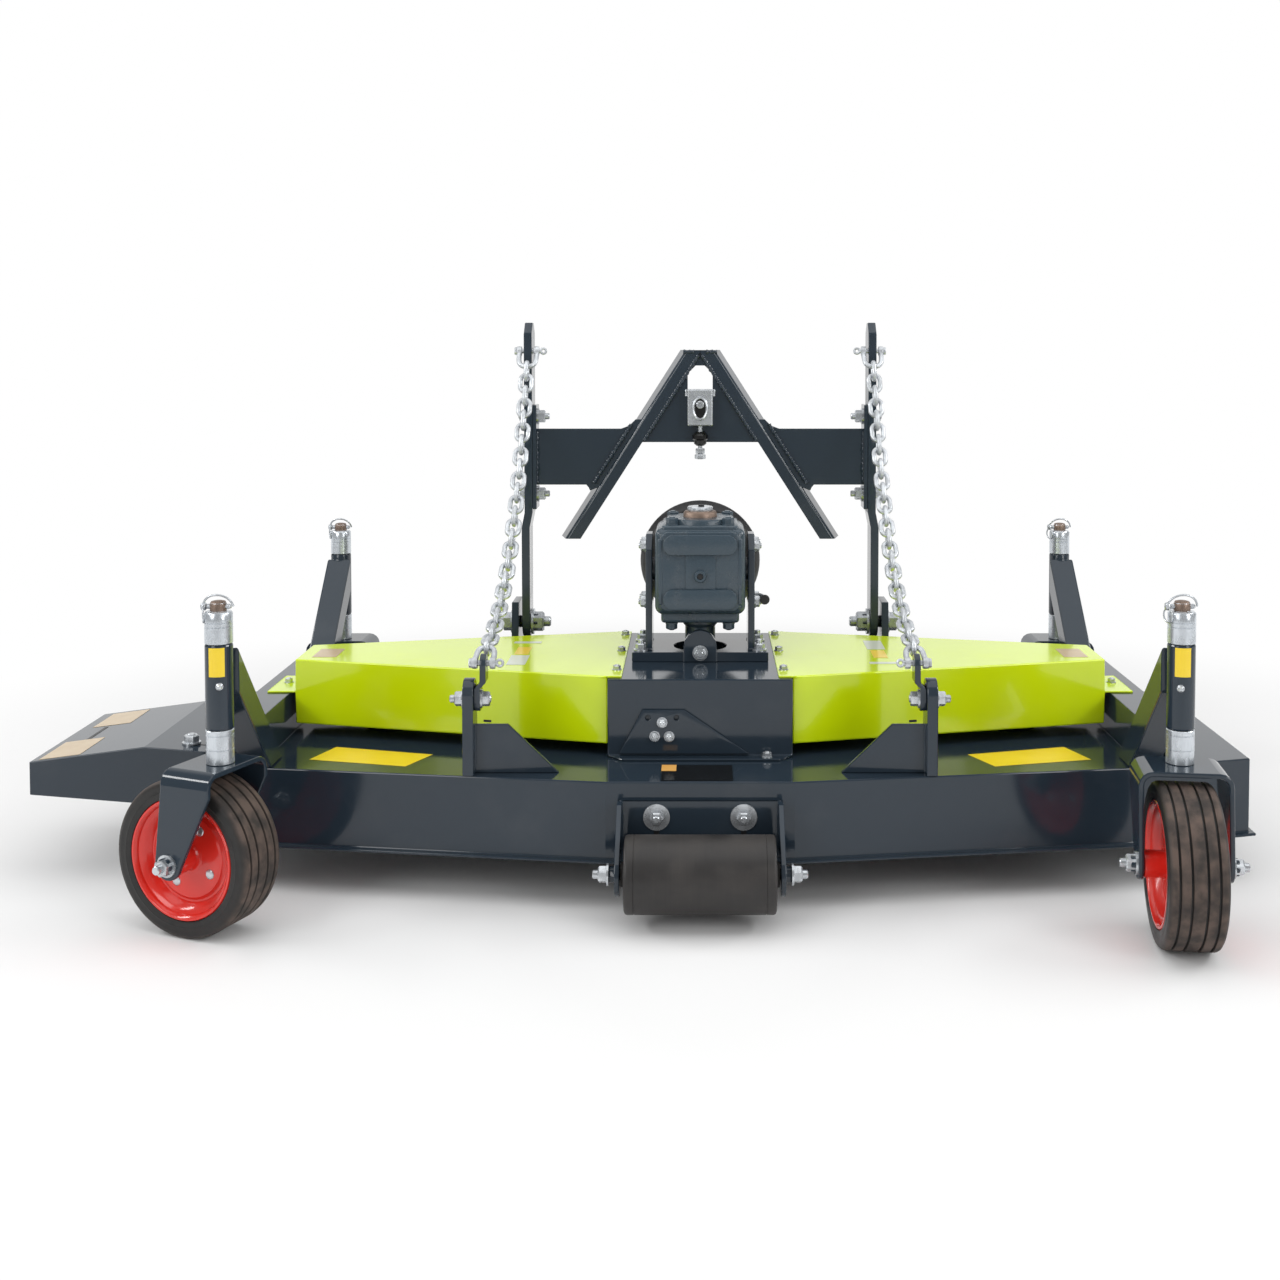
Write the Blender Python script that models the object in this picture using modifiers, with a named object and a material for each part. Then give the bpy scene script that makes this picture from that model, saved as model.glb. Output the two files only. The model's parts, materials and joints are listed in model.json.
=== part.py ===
# Front rotary mower for a tractor: folded deck, three blades, belt covers, gearbox, four caster wheels,
# a front roller and a chain-held coupling frame.
# Metres, +Z up, +Y towards the tractor, -Y the way the mower travels. Sizes are laid out from the deck's
# middle at ground level, and the root empty puts the origin on the end face of the power take-off shaft.

import math

import bmesh
import bpy
from mathutils import Matrix, Vector

for old in list(bpy.data.objects):
    bpy.data.objects.remove(old, do_unlink=True)

# Clearances
SEAT = 0.0003            # between pieces that touch
RUN = 0.001              # between a shaft and its bore
STEEL = 0.004            # folded deck sheet
COVER_SHEET = 0.0025     # folded cover sheet

# Deck
DECK_TOP = 0.208
DECK_SKIRT = 0.133
FRONT_FLAT = 0.155       # half width of the straight middle of the front
FRONT_Y = -0.355
SHOULDER_X = 0.735
SHOULDER_Y = -0.275
SIDE_X = 0.948
SIDE_FRONT_Y = -0.218
SIDE_REAR_Y = 0.262
REAR_FLAT = 0.42
REAR_Y = 0.405
HEM_WIDTH = 0.010
HEM_THICK = 0.005

# Power take-off and gearbox
PTO_Y = 0.190
PTO_HEIGHT = 0.505
PTO_RADIUS = 0.0175
GEARBOX_Y = -0.010
GEARBOX_WIDTH = 0.164
GEARBOX_DEPTH = 0.140
GEARBOX_BOTTOM = PTO_HEIGHT - 0.075
GEARBOX_TOP = PTO_HEIGHT + 0.083
SHIELD_RADIUS = 0.115

# Centre box and belt covers
BOX_TOP = PTO_HEIGHT - 0.161
BOX_FRONT_Y = -0.212
BOX_HALF = 0.160
BOX_REAR_Y = 0.195
COVER_BOTTOM = DECK_TOP + 0.16 * (BOX_TOP - DECK_TOP)
COVER_OUTER_X = 0.738
COVER_OUTER_HALF_DEPTH = 0.064
COVER_INNER_FRONT_Y = -0.200
COVER_LAP_X = 0.136
COVER_TAB_X = 0.790
RAIL_TOP = DECK_TOP + 0.020 + 0.42 * (BOX_TOP - DECK_TOP)
RAIL_INNER_X = 0.748
RAIL_OUTER_X = 0.813

# Blades and spindles
BLADE_RADIUS = 0.2934
BLADE_HEIGHT = 0.098
SIDE_SPINDLE_X = 0.585
SIDE_SPINDLE_Y = 0.040
CENTRE_SPINDLE_Y = -0.050

# Casters
POST_TUBE_RADIUS = 0.0215
POST_PIN_RADIUS = 0.0125
COLLAR_RADIUS = 0.0215
FORK_TOP = 0.271
LOWER_COLLARS = 0.054
POST_TUBE = 0.134
UPPER_COLLARS = 0.050
CAP = 0.015
TRAIL = 0.045
WHEEL_RADIUS = 0.125
WHEEL_WIDTH = 0.088
RIM_RADIUS = 0.0965
FORK_INNER = 0.126
FORK_STEEL = 0.008
AXLE_RADIUS = 0.008
ARM_TUBE = 0.050

# Front roller
ROLLER_RADIUS = 0.061
ROLLER_LENGTH = 0.240
ROLLER_Y = -0.4315
ROLLER_HEIGHT = 0.083
BRACKET_INNER = 0.254
BRACKET_STEEL = 0.008
BRACKET_TOP = 0.180
BRACKET_BOTTOM = 0.100

# Coupling frame
PIVOT_Y = 0.258
PIVOT_HEIGHT = 0.355
PIVOT_RADIUS = 0.012
UPRIGHT_X = 0.345
UPRIGHT_THICK = 0.016
UPRIGHT_DEPTH = 0.060
UPRIGHT_TOP = 0.962
UPRIGHT_FOOT_SHIFT = 0.006
UPRIGHT_BEND = 0.580
LUG_GAP = 0.006
LUG_THICK = 0.014

# Chains
LINK_WIRE = 0.009
LINK_WIDTH = 0.031
LINKS = 27
FRONT_LUG_X = 0.384
FRONT_LUG_Y = -0.300


def scene_collection(name):
    made = bpy.data.collections.new(name)
    bpy.context.scene.collection.children.link(made)
    return made


PARTS = scene_collection("front_rotary_mower")
CUTTERS = scene_collection("cutters")

root = bpy.data.objects.new("mower_frame", None)
root.location = (0.0, -PTO_Y, -PTO_HEIGHT)
PARTS.objects.link(root)


def finish(name, colour, roughness, metallic):
    made = bpy.data.materials.new(name)
    made.use_nodes = True
    shader = made.node_tree.nodes["Principled BSDF"]
    shader.inputs["Base Color"].default_value = (*colour, 1.0)
    shader.inputs["Roughness"].default_value = roughness
    shader.inputs["Metallic"].default_value = metallic
    return made


# name: colour, roughness, metallic
FINISHES = {
    "deck_paint": ((0.030, 0.037, 0.046), 0.25, 0.0),
    "cover_paint": ((0.52, 0.65, 0.01), 0.25, 0.0),
    "zinc": ((0.62, 0.64, 0.66), 0.35, 1.0),
    "rim_red": ((0.65, 0.03, 0.02), 0.35, 0.0),
    "tyre_rubber": ((0.035, 0.030, 0.028), 0.8, 0.0),
    "roller_rubber": ((0.03, 0.03, 0.032), 0.6, 0.0),
    "gearbox_paint": ((0.03, 0.036, 0.042), 0.4, 0.0),
    "black_plastic": ((0.012, 0.012, 0.013), 0.45, 0.0),
    "bare_steel": ((0.45, 0.44, 0.42), 0.4, 1.0),
}


# Shapes

def from_bmesh(bm, name="shape"):
    mesh = bpy.data.meshes.new(name)
    bm.to_mesh(mesh)
    bm.free()
    made = bpy.data.objects.new(name, mesh)
    CUTTERS.objects.link(made)
    return made


def block(low, high):
    bm = bmesh.new()
    bmesh.ops.create_cube(bm, size=1.0)
    size = Vector(high) - Vector(low)
    centre = (Vector(high) + Vector(low)) / 2
    bmesh.ops.transform(bm, matrix=Matrix.Translation(centre) @ Matrix.Diagonal((*size, 1.0)), verts=bm.verts)
    return from_bmesh(bm)


def rod(radius, start, end, sides=24):
    start, end = Vector(start), Vector(end)
    bm = bmesh.new()
    bmesh.ops.create_cone(bm, cap_ends=True, segments=sides, radius1=radius,
                          radius2=radius, depth=(end - start).length)
    turn = Vector((0, 0, 1)).rotation_difference(end - start).to_matrix().to_4x4()
    bmesh.ops.transform(bm, matrix=Matrix.Translation((start + end) / 2) @ turn, verts=bm.verts)
    return from_bmesh(bm)


def as_mesh(made):
    """Turns a curve or an object with modifiers into a plain mesh with welded caps."""
    bpy.context.view_layer.update()
    graph = bpy.context.evaluated_depsgraph_get()
    mesh = bpy.data.meshes.new_from_object(made.evaluated_get(graph))
    bm = bmesh.new()
    bm.from_mesh(mesh)
    bmesh.ops.remove_doubles(bm, verts=bm.verts, dist=0.00002)
    bmesh.ops.recalc_face_normals(bm, faces=bm.faces)
    if bm.calc_volume(signed=True) < 0:
        bmesh.ops.reverse_faces(bm, faces=bm.faces)
    bm.to_mesh(mesh)
    bm.free()
    solid = bpy.data.objects.new(made.name, mesh)
    solid.matrix_world = made.matrix_world
    CUTTERS.objects.link(solid)
    bpy.data.objects.remove(made, do_unlink=True)
    return solid


def apply_place(made):
    made.data.transform(made.matrix_world)
    made.matrix_world = Matrix.Identity(4)
    return made


def outline_plate(outline, thickness):
    """A flat plate in the XY plane, from z = 0 to its thickness, from a list of (x, y) points."""
    curve = bpy.data.curves.new("outline", "CURVE")
    curve.dimensions = "2D"
    curve.fill_mode = "BOTH"
    curve.extrude = thickness / 2
    spline = curve.splines.new("POLY")
    spline.points.add(len(outline) - 1)
    for point, (x, y) in zip(spline.points, outline):
        point.co = (x, y, 0.0, 1.0)
    spline.use_cyclic_u = True
    made = bpy.data.objects.new("outline", curve)
    CUTTERS.objects.link(made)
    made.location = (0, 0, thickness / 2)
    return apply_place(as_mesh(made))


# Turns that stand a plate up: its outline's x and y become the axes named here
STAND = {
    "xz": Matrix(((1, 0, 0, 0), (0, 0, -1, 0), (0, 1, 0, 0), (0, 0, 0, 1))),
    "yz": Matrix(((0, 0, 1, 0), (1, 0, 0, 0), (0, 1, 0, 0), (0, 0, 0, 1))),
}


def upright_plate(outline, thickness, plane, middle):
    """A plate whose outline lies in the XZ or YZ plane, centred in thickness at a place on the other axis."""
    made = outline_plate(outline, thickness)
    made.data.transform(Matrix.Translation((0, 0, -thickness / 2)))
    made.data.transform(STAND[plane])
    shift = (0, middle, 0) if plane == "xz" else (middle, 0, 0)
    made.data.transform(Matrix.Translation(shift))
    return made


def arc(centre, radius, first, last, count=8):
    """Points on a circle from one angle to another, in degrees."""
    steps = [math.radians(first + (last - first) * step / count) for step in range(count + 1)]
    return [(centre[0] + radius * math.cos(a), centre[1] + radius * math.sin(a)) for a in steps]


def rounded_outline(half, low, high, radius, count=3):
    """A rectangle about the middle with rounded corners, in points anticlockwise."""
    x = half - radius
    corners = ((x, low + radius, -90), (x, high - radius, 0), (-x, high - radius, 90), (-x, low + radius, 180))
    points = []
    for corner_x, corner_z, first in corners:
        points += arc((corner_x, corner_z), radius, first, first + 90, count)
    return points


def turned(profile, steps=32, ring=True):
    """(radius, height) points turned round Z: a closed ring of them, or a line that starts and ends on the axis."""
    bm = bmesh.new()
    verts = [bm.verts.new((radius, 0, height)) for radius, height in profile]
    ends = verts[1:] + verts[:1] if ring else verts[1:]
    for first, second in zip(verts, ends):
        bm.edges.new((first, second))
    made = from_bmesh(bm)
    screw = made.modifiers.new("turn", "SCREW")
    screw.steps = steps
    screw.render_steps = steps
    screw.use_merge_vertices = True
    screw.merge_threshold = 0.00005
    return as_mesh(made)


def folded(points, faces, thickness, offset=-1.0):
    """A sheet folded along the shared edges of flat faces, with its thickness to one side."""
    bm = bmesh.new()
    verts = [bm.verts.new(point) for point in points]
    for face in faces:
        bm.faces.new([verts[index] for index in face])
    made = from_bmesh(bm)
    solid = made.modifiers.new("thickness", "SOLIDIFY")
    solid.thickness = thickness
    solid.offset = offset
    solid.use_even_offset = True
    solid.use_quality_normals = True
    return as_mesh(made)


def place(made, matrix):
    made.data.transform(matrix)
    return made


def moved(made, x=0.0, y=0.0, z=0.0):
    return place(made, Matrix.Translation((x, y, z)))


def turn_about(axis, degrees):
    return Matrix.Rotation(math.radians(degrees), 4, axis)


def boolean(target, tools, operation):
    for tool in tools:
        step = target.modifiers.new("step", "BOOLEAN")
        step.operation = operation
        step.solver = "EXACT"
        step.object = tool
    result = as_mesh(target)
    for tool in tools:
        bpy.data.objects.remove(tool, do_unlink=True)
    return result


def without_spare_points(made):
    """Takes out the points that lie along straight edges."""
    bm = bmesh.new()
    bm.from_mesh(made.data)
    bmesh.ops.dissolve_limit(bm, angle_limit=0.001, verts=bm.verts, edges=bm.edges)
    bm.to_mesh(made.data)
    bm.free()
    return made


def union(target, *tools):
    return boolean(target, tools, "UNION")


def cut(target, *tools):
    return boolean(target, tools, "DIFFERENCE")


def keep_inside(target, tool):
    return boolean(target, (tool,), "INTERSECT")


def bevelled(made, width, segments=1, angle=30):
    bevel = made.modifiers.new("edges", "BEVEL")
    bevel.width = width
    bevel.segments = segments
    bevel.limit_method = "ANGLE"
    bevel.angle_limit = math.radians(angle)
    return as_mesh(made)


def mirrored(made):
    """A copy mirrored in the middle plane of the machine."""
    mesh = made.data.copy()
    mesh.transform(Matrix.Diagonal((-1, 1, 1, 1)))
    mesh.flip_normals()
    copy = bpy.data.objects.new(made.name, mesh)
    CUTTERS.objects.link(copy)
    return copy


def part(name, made, finish_name, origin=(0, 0, 0), parent=None):
    """Names a finished solid as a sub-part. Its mesh is in deck places, and its origin goes on its axis."""
    apply_place(made)
    origin = Vector(origin)
    made.data.transform(Matrix.Translation(-origin))
    made.name = name
    made.data.name = name
    made.data.materials.clear()
    if finish_name not in bpy.data.materials:
        finish(finish_name, *FINISHES[finish_name])
    made.data.materials.append(bpy.data.materials[finish_name])
    made.data.shade_smooth()
    made.data.set_sharp_from_angle(angle=math.radians(35))
    CUTTERS.objects.unlink(made)
    PARTS.objects.link(made)
    made.parent = parent or root
    made.location = origin
    return made


SIDES = (("left", -1), ("right", 1))


# Deck

def deck_outline(inset=0.0):
    """Plan of the deck, left and right alike, with each edge moved in by the inset."""
    half = [
        Vector((FRONT_FLAT, FRONT_Y)),
        Vector((SHOULDER_X, SHOULDER_Y)),
        Vector((SIDE_X, SIDE_FRONT_Y)),
        Vector((SIDE_X, SIDE_REAR_Y)),
        Vector((REAR_FLAT, REAR_Y)),
    ]
    ring = half + [Vector((-point.x, point.y)) for point in reversed(half)]
    count = len(ring)
    moved_in = []
    for index, point in enumerate(ring):
        before = (point - ring[index - 1]).normalized()
        after = (ring[(index + 1) % count] - point).normalized()
        normal_before = Vector((-before.y, before.x))
        normal_after = Vector((-after.y, after.x))
        middle = (normal_before + normal_after).normalized()
        moved_in.append(point + middle * inset / middle.dot(normal_before))
    return [(point.x, point.y) for point in moved_in]


DECK_BOTTOM = DECK_TOP - DECK_SKIRT
SPINDLES = (("left", -SIDE_SPINDLE_X, SIDE_SPINDLE_Y), ("centre", 0.0, CENTRE_SPINDLE_Y),
            ("right", SIDE_SPINDLE_X, SIDE_SPINDLE_Y))
HOUSING_BODY = 0.048
HOUSING_FLANGE = 0.080
DISCHARGE_FRONT = -0.190
DISCHARGE_REAR = 0.235


def deck_shell():
    shell = moved(outline_plate(deck_outline(), DECK_SKIRT), z=DECK_BOTTOM)
    hollow = moved(outline_plate(deck_outline(STEEL), DECK_SKIRT), z=DECK_BOTTOM - STEEL)
    hem = moved(outline_plate(deck_outline(-HEM_WIDTH), HEM_THICK), z=DECK_BOTTOM)
    mouth = block((-SIDE_X - 2 * HEM_WIDTH, DISCHARGE_FRONT, DECK_BOTTOM - HEM_THICK),
                  (-SIDE_X + 2 * HEM_WIDTH, DISCHARGE_REAR, DECK_TOP - 2 * STEEL))
    holes = [rod(HOUSING_BODY + RUN, (x, y, DECK_TOP - 2 * STEEL), (x, y, DECK_TOP + STEEL), 32)
             for _, x, y in SPINDLES]
    return cut(union(shell, hem), hollow, mouth, *holes)


part("deck_shell", deck_shell(), "deck_paint")

# Side discharge chute, folded from one sheet
CHUTE_END_X = 1.147
CHUTE_RIDGE_X = 0.950
CHUTE_INNER_X = 0.880
CHUTE_TAB_X = 0.850
CHUTE_FRONT_Y = -0.240
CHUTE_REAR_Y = 0.085
CHUTE_RIDGE = 0.234
CHUTE_INNER = 0.226
CHUTE_END = 0.208
CHUTE_END_BOTTOM = 0.151
CHUTE_FOOT_X = 0.972
CHUTE_FOOT = 0.137


def side_chute():
    foot = DECK_TOP + SEAT + STEEL
    # x, height along the top of the sheet, from the tab on the deck to the outer end
    top = ((-CHUTE_TAB_X, foot), (-CHUTE_INNER_X, foot), (-CHUTE_INNER_X - 0.006, CHUTE_INNER),
           (-CHUTE_RIDGE_X, CHUTE_RIDGE), (-CHUTE_END_X, CHUTE_END))
    bottom = ((-CHUTE_FOOT_X, CHUTE_FOOT), (-CHUTE_END_X, CHUTE_END_BOTTOM))
    points = []
    for y in (CHUTE_FRONT_Y, CHUTE_REAR_Y):
        points += [(x, y, z) for x, z in top]
        points += [(x, y, z) for x, z in bottom]
    row = len(top) + len(bottom)
    faces = [(index, index + 1, index + 1 + row, index + row) for index in range(len(top) - 1)]
    faces = [tuple(reversed(face)) for face in faces]
    faces.append((3, 4, 6, 5))
    faces.append((4 + row, 3 + row, 5 + row, 6 + row))
    return folded(points, faces, STEEL)


part("side_chute", side_chute(), "deck_paint")

# Centre box, a folded bridge over the centre belt pulleys
BOX_FLANGE = 0.024
OUTPUT_HOLE = 0.060


def centre_box():
    foot = DECK_TOP + SEAT + STEEL
    # y, height, half width along the top of the sheet, from the front flange to the rear one
    flange_half = BOX_HALF - BOX_FLANGE
    rows = ((BOX_FRONT_Y - BOX_FLANGE, foot, flange_half), (BOX_FRONT_Y, foot, BOX_HALF),
            (BOX_FRONT_Y, BOX_TOP, BOX_HALF), (BOX_REAR_Y, BOX_TOP, BOX_HALF),
            (BOX_REAR_Y, foot, BOX_HALF), (BOX_REAR_Y + BOX_FLANGE, foot, flange_half))
    points = []
    for y, z, half in rows:
        points += [(-half, y, z), (half, y, z)]
    faces = [(2 * index, 2 * index + 1, 2 * index + 3, 2 * index + 2) for index in range(len(rows) - 1)]
    sheet = folded(points, faces, STEEL)
    hole = rod(OUTPUT_HOLE, (0, GEARBOX_Y, BOX_TOP - 3 * STEEL), (0, GEARBOX_Y, BOX_TOP + STEEL), 32)
    return cut(sheet, hole)


part("centre_box", centre_box(), "deck_paint")

# Belt covers
COVER_GAP = 0.001


def belt_cover():
    """The right cover: a tapering pan, open below and towards the centre box, that laps over the box's top and
    rests on the side rail by its outer tab."""
    sheet = COVER_SHEET
    inner_x = BOX_HALF + COVER_GAP
    top = BOX_TOP + SEAT + sheet
    front_slope = (COVER_INNER_FRONT_Y + COVER_OUTER_HALF_DEPTH) / (COVER_OUTER_X - inner_x)
    rear_slope = (BOX_REAR_Y - COVER_OUTER_HALF_DEPTH) / (COVER_OUTER_X - inner_x)

    def pan(first_x, edge):
        """Plan of the cover from first_x outwards, with its edges moved in."""
        front = COVER_INNER_FRONT_Y + front_slope * (inner_x - first_x) + edge
        rear = BOX_REAR_Y + rear_slope * (inner_x - first_x) - edge
        return [(first_x, front), (COVER_OUTER_X - edge, -COVER_OUTER_HALF_DEPTH + edge),
                (COVER_OUTER_X - edge, COVER_OUTER_HALF_DEPTH - edge), (first_x, rear)]

    outside = moved(outline_plate(pan(inner_x, 0), top - COVER_BOTTOM), z=COVER_BOTTOM)
    hollow = moved(outline_plate(pan(inner_x - sheet, sheet), top - sheet - COVER_BOTTOM + sheet),
                   z=COVER_BOTTOM - sheet)
    lap = block((COVER_LAP_X, COVER_INNER_FRONT_Y, top - sheet), (inner_x + sheet, BOX_REAR_Y, top))
    tab_low = RAIL_TOP + SEAT
    tab = block((COVER_OUTER_X - sheet / 2, -COVER_OUTER_HALF_DEPTH, tab_low),
                (COVER_TAB_X, COVER_OUTER_HALF_DEPTH, tab_low + sheet))
    return union(cut(outside, hollow), lap, tab)


cover = belt_cover()
part("belt_cover_left", mirrored(cover), "cover_paint")
part("belt_cover_right", cover, "cover_paint")

# Gearbox on its stand
STAND_X = 0.0875
STAND_THICK = 0.012
STAND_FOOT = 0.017
STAND_FOOT_HALF = 0.124
STAND_FOOT_REACH = 0.062
CHEEK_HALF = 0.045
CHEEK_TOP = PTO_HEIGHT + 0.067
CHEEK_CORNER = 0.026
OUTPUT_NECK = 0.028
OUTPUT_NECK_END = BOX_TOP - 0.040
STAND_HOLE = 0.049
PIVOT_LUG_HALF = 0.030
PIVOT_LUG_RISE = 0.058
PIVOT_LUG_PROUD = 0.003


def gearbox_stand():
    base = BOX_TOP + SEAT
    foot = block((-STAND_FOOT_HALF, GEARBOX_Y - STAND_FOOT_REACH, base),
                 (STAND_FOOT_HALF, GEARBOX_Y + STAND_FOOT_REACH, base + STAND_FOOT))
    hole = rod(STAND_HOLE, (0, GEARBOX_Y, base - 0.01), (0, GEARBOX_Y, base + 0.03), 32)
    cheeks = []
    for _, side in SIDES:
        middle = side * (STAND_X + STAND_THICK / 2)
        front, rear = GEARBOX_Y - CHEEK_HALF, GEARBOX_Y + CHEEK_HALF
        outline = [(front, base + STAND_FOOT / 2), (rear, base + STAND_FOOT / 2),
                   (rear, CHEEK_TOP - CHEEK_CORNER), (rear - CHEEK_CORNER, CHEEK_TOP),
                   (front + CHEEK_CORNER, CHEEK_TOP), (front, CHEEK_TOP - CHEEK_CORNER)]
        cheeks.append(upright_plate(outline, STAND_THICK, "yz", middle))
    eye = base + PIVOT_LUG_RISE - PIVOT_LUG_HALF
    lug = [(-PIVOT_LUG_HALF, base), (PIVOT_LUG_HALF, base)]
    lug += arc((0, eye), PIVOT_LUG_HALF, 0, 180, 8)
    lug_y = GEARBOX_Y - STAND_FOOT_REACH - PIVOT_LUG_PROUD + STAND_THICK / 2
    pivot_lug = upright_plate(lug, STAND_THICK, "xz", lug_y)
    return cut(union(foot, *cheeks, pivot_lug), hole)


part("gearbox_stand", gearbox_stand(), "deck_paint")

GEARBOX_HALF = GEARBOX_WIDTH / 2
GEARBOX_FRONT_Y = GEARBOX_Y - GEARBOX_DEPTH / 2
GEARBOX_REAR_Y = GEARBOX_Y + GEARBOX_DEPTH / 2


GEARBOX_EDGE = 0.016
COVER_HALF = 0.073
COVER_STEP = 0.018
COVER_BELOW = 0.065
COVER_ABOVE = 0.079
COVER_CORNER = 0.014
PAD_HALF = 0.067
PAD_STEP = 0.006
PAD_TALL = 0.035
PAD_EDGE = 0.006
PLUG_STEP = 0.026
TOP_COVER_RADIUS = 0.062
TOP_COVER_STEP = 0.014
CAP_RADIUS = 0.031
CAP_STEP = 0.030
FLANGE_HALF = 0.071
FLANGE_REACH = 0.060
FLANGE_THICK = 0.016
BOSS_RADIUS = 0.022
REAR_BOSS_RADIUS = 0.058
REAR_BOSS_STEP = 0.014
BORE_DEPTH = 0.020


def gearbox_housing():
    into = 0.010
    body = bevelled(block((-GEARBOX_HALF, GEARBOX_FRONT_Y, GEARBOX_BOTTOM),
                          (GEARBOX_HALF, GEARBOX_REAR_Y, GEARBOX_TOP)), GEARBOX_EDGE, 2)
    low, high = PTO_HEIGHT - COVER_BELOW, PTO_HEIGHT + COVER_ABOVE
    face = GEARBOX_FRONT_Y - COVER_STEP
    cover_plate = upright_plate(rounded_outline(COVER_HALF, low, high, COVER_CORNER), COVER_STEP + into, "xz",
                                GEARBOX_FRONT_Y + (into - COVER_STEP) / 2)
    front = bevelled(cover_plate, 0.003)
    # lower edge of each raised pad on the front cover
    pads = [upright_plate(rounded_outline(PAD_HALF, bottom, bottom + PAD_TALL, COVER_CORNER), PAD_STEP + into, "xz",
                          face + (into - PAD_STEP) / 2)
            for bottom in (low + PAD_EDGE, high - PAD_EDGE - PAD_TALL)]
    plug = rod(0.010, (0, GEARBOX_FRONT_Y - PLUG_STEP, PTO_HEIGHT), (0, GEARBOX_FRONT_Y, PTO_HEIGHT), 12)
    top = rod(TOP_COVER_RADIUS, (0, GEARBOX_Y, GEARBOX_TOP - into), (0, GEARBOX_Y, GEARBOX_TOP + TOP_COVER_STEP), 24)
    cap = rod(CAP_RADIUS, (0, GEARBOX_Y, GEARBOX_TOP), (0, GEARBOX_Y, GEARBOX_TOP + CAP_STEP), 20)
    flange = bevelled(block((-FLANGE_HALF, GEARBOX_Y - FLANGE_REACH, GEARBOX_BOTTOM - FLANGE_THICK),
                            (FLANGE_HALF, GEARBOX_Y + FLANGE_REACH, GEARBOX_BOTTOM + into)), 0.006)
    neck = rod(OUTPUT_NECK, (0, GEARBOX_Y, OUTPUT_NECK_END), (0, GEARBOX_Y, GEARBOX_BOTTOM), 20)
    bosses = [rod(BOSS_RADIUS, (side * (GEARBOX_HALF - into), GEARBOX_Y, PTO_HEIGHT),
                  (side * (STAND_X - SEAT), GEARBOX_Y, PTO_HEIGHT), 16) for _, side in SIDES]
    rear = rod(REAR_BOSS_RADIUS, (0, GEARBOX_REAR_Y - into, PTO_HEIGHT),
               (0, GEARBOX_REAR_Y + REAR_BOSS_STEP, PTO_HEIGHT), 24)
    bore = rod(PTO_RADIUS + RUN, (0, GEARBOX_REAR_Y - BORE_DEPTH, PTO_HEIGHT),
               (0, GEARBOX_REAR_Y + 2 * REAR_BOSS_STEP, PTO_HEIGHT), 20)
    return cut(union(body, front, *pads, plug, top, cap, flange, neck, rear, *bosses), bore)


part("gearbox_housing", gearbox_housing(), "gearbox_paint")


SHIELD_WALL = 0.003
SHIELD_HOLE = 0.036
SHIELD_CORNER = 0.012
SHIELD_MOUTH = PTO_Y + 0.015
SHIELD_MOUTH_RADIUS = 0.098


def pto_shield():
    """A cup round the power take-off shaft that narrows to its mouth, open towards the tractor."""
    back = GEARBOX_REAR_Y + REAR_BOSS_STEP + SEAT
    wall = SHIELD_WALL
    shoulder = back + 2 * SHIELD_CORNER
    profile = [(SHIELD_HOLE, back), (SHIELD_RADIUS - SHIELD_CORNER, back), (SHIELD_RADIUS, shoulder),
               (SHIELD_MOUTH_RADIUS, SHIELD_MOUTH), (SHIELD_MOUTH_RADIUS - wall, SHIELD_MOUTH),
               (SHIELD_RADIUS - wall, shoulder),
               (SHIELD_RADIUS - SHIELD_CORNER - wall / 2, back + wall), (SHIELD_HOLE, back + wall)]
    cup = turned(profile, 24)
    return moved(place(cup, turn_about("X", -90)), z=PTO_HEIGHT)


part("pto_shield", pto_shield(), "black_plastic")
PTO_BACK = GEARBOX_REAR_Y - BORE_DEPTH + RUN
pto = rod(PTO_RADIUS, (0, PTO_BACK, PTO_HEIGHT), (0, PTO_Y, PTO_HEIGHT), 20)
part("pto_shaft", pto, "bare_steel", origin=(0, PTO_Y, PTO_HEIGHT))

# Tensioner lever plate on the front of the centre box
LEVER_THICK = 0.006
LEVER_BOTTOM = DECK_TOP + STEEL + 0.004
LEVER_TOP = LEVER_BOTTOM + 0.076
# left end, right end of the lever's long lower edge and of its short upper edge
LEVER_LOW = (-0.140, 0.085)
LEVER_HIGH = (-0.100, -0.027)
LEVER_SPARE_HOLES = (-0.090, -0.041)
LEVER_HOLE = 0.0045


def tensioner_lever():
    outline = [(LEVER_LOW[0], LEVER_BOTTOM), (LEVER_LOW[1], LEVER_BOTTOM),
               (LEVER_HIGH[1], LEVER_TOP), (LEVER_HIGH[0], LEVER_TOP)]
    plate = upright_plate(outline, LEVER_THICK, "xz", BOX_FRONT_Y - LEVER_THICK / 2 - SEAT)
    height = LEVER_TOP - 3 * LEVER_HOLE
    holes = [rod(LEVER_HOLE, (x, BOX_FRONT_Y - 3 * LEVER_THICK, height), (x, BOX_FRONT_Y + LEVER_THICK, height), 12)
             for x in LEVER_SPARE_HOLES]
    return cut(plate, *holes)


part("tensioner_lever", tensioner_lever(), "deck_paint")

# Spindle housings and blades
HOUSING_BOTTOM = BLADE_HEIGHT + 0.030
HOUSING_CAP = 0.010
HUB_RADIUS = 0.040
BLADE_WIDTH = 0.062
BLADE_THICK = 0.008
LIFT_LENGTH = 0.110
LIFT_RISE = 0.022
LIFT_LEAN = 30


def spindle_housing(x, y):
    below = DECK_TOP - STEEL - SEAT
    top = DECK_TOP + HOUSING_CAP
    profile = [(0, HOUSING_BOTTOM), (HOUSING_BODY * 0.75, HOUSING_BOTTOM), (HOUSING_BODY * 0.88, below - 0.020),
               (HOUSING_FLANGE, below - 0.012), (HOUSING_FLANGE, below), (HOUSING_BODY, below),
               (HOUSING_BODY, top), (0, top)]
    return moved(turned(profile, 20, ring=False), x, y)


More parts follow.
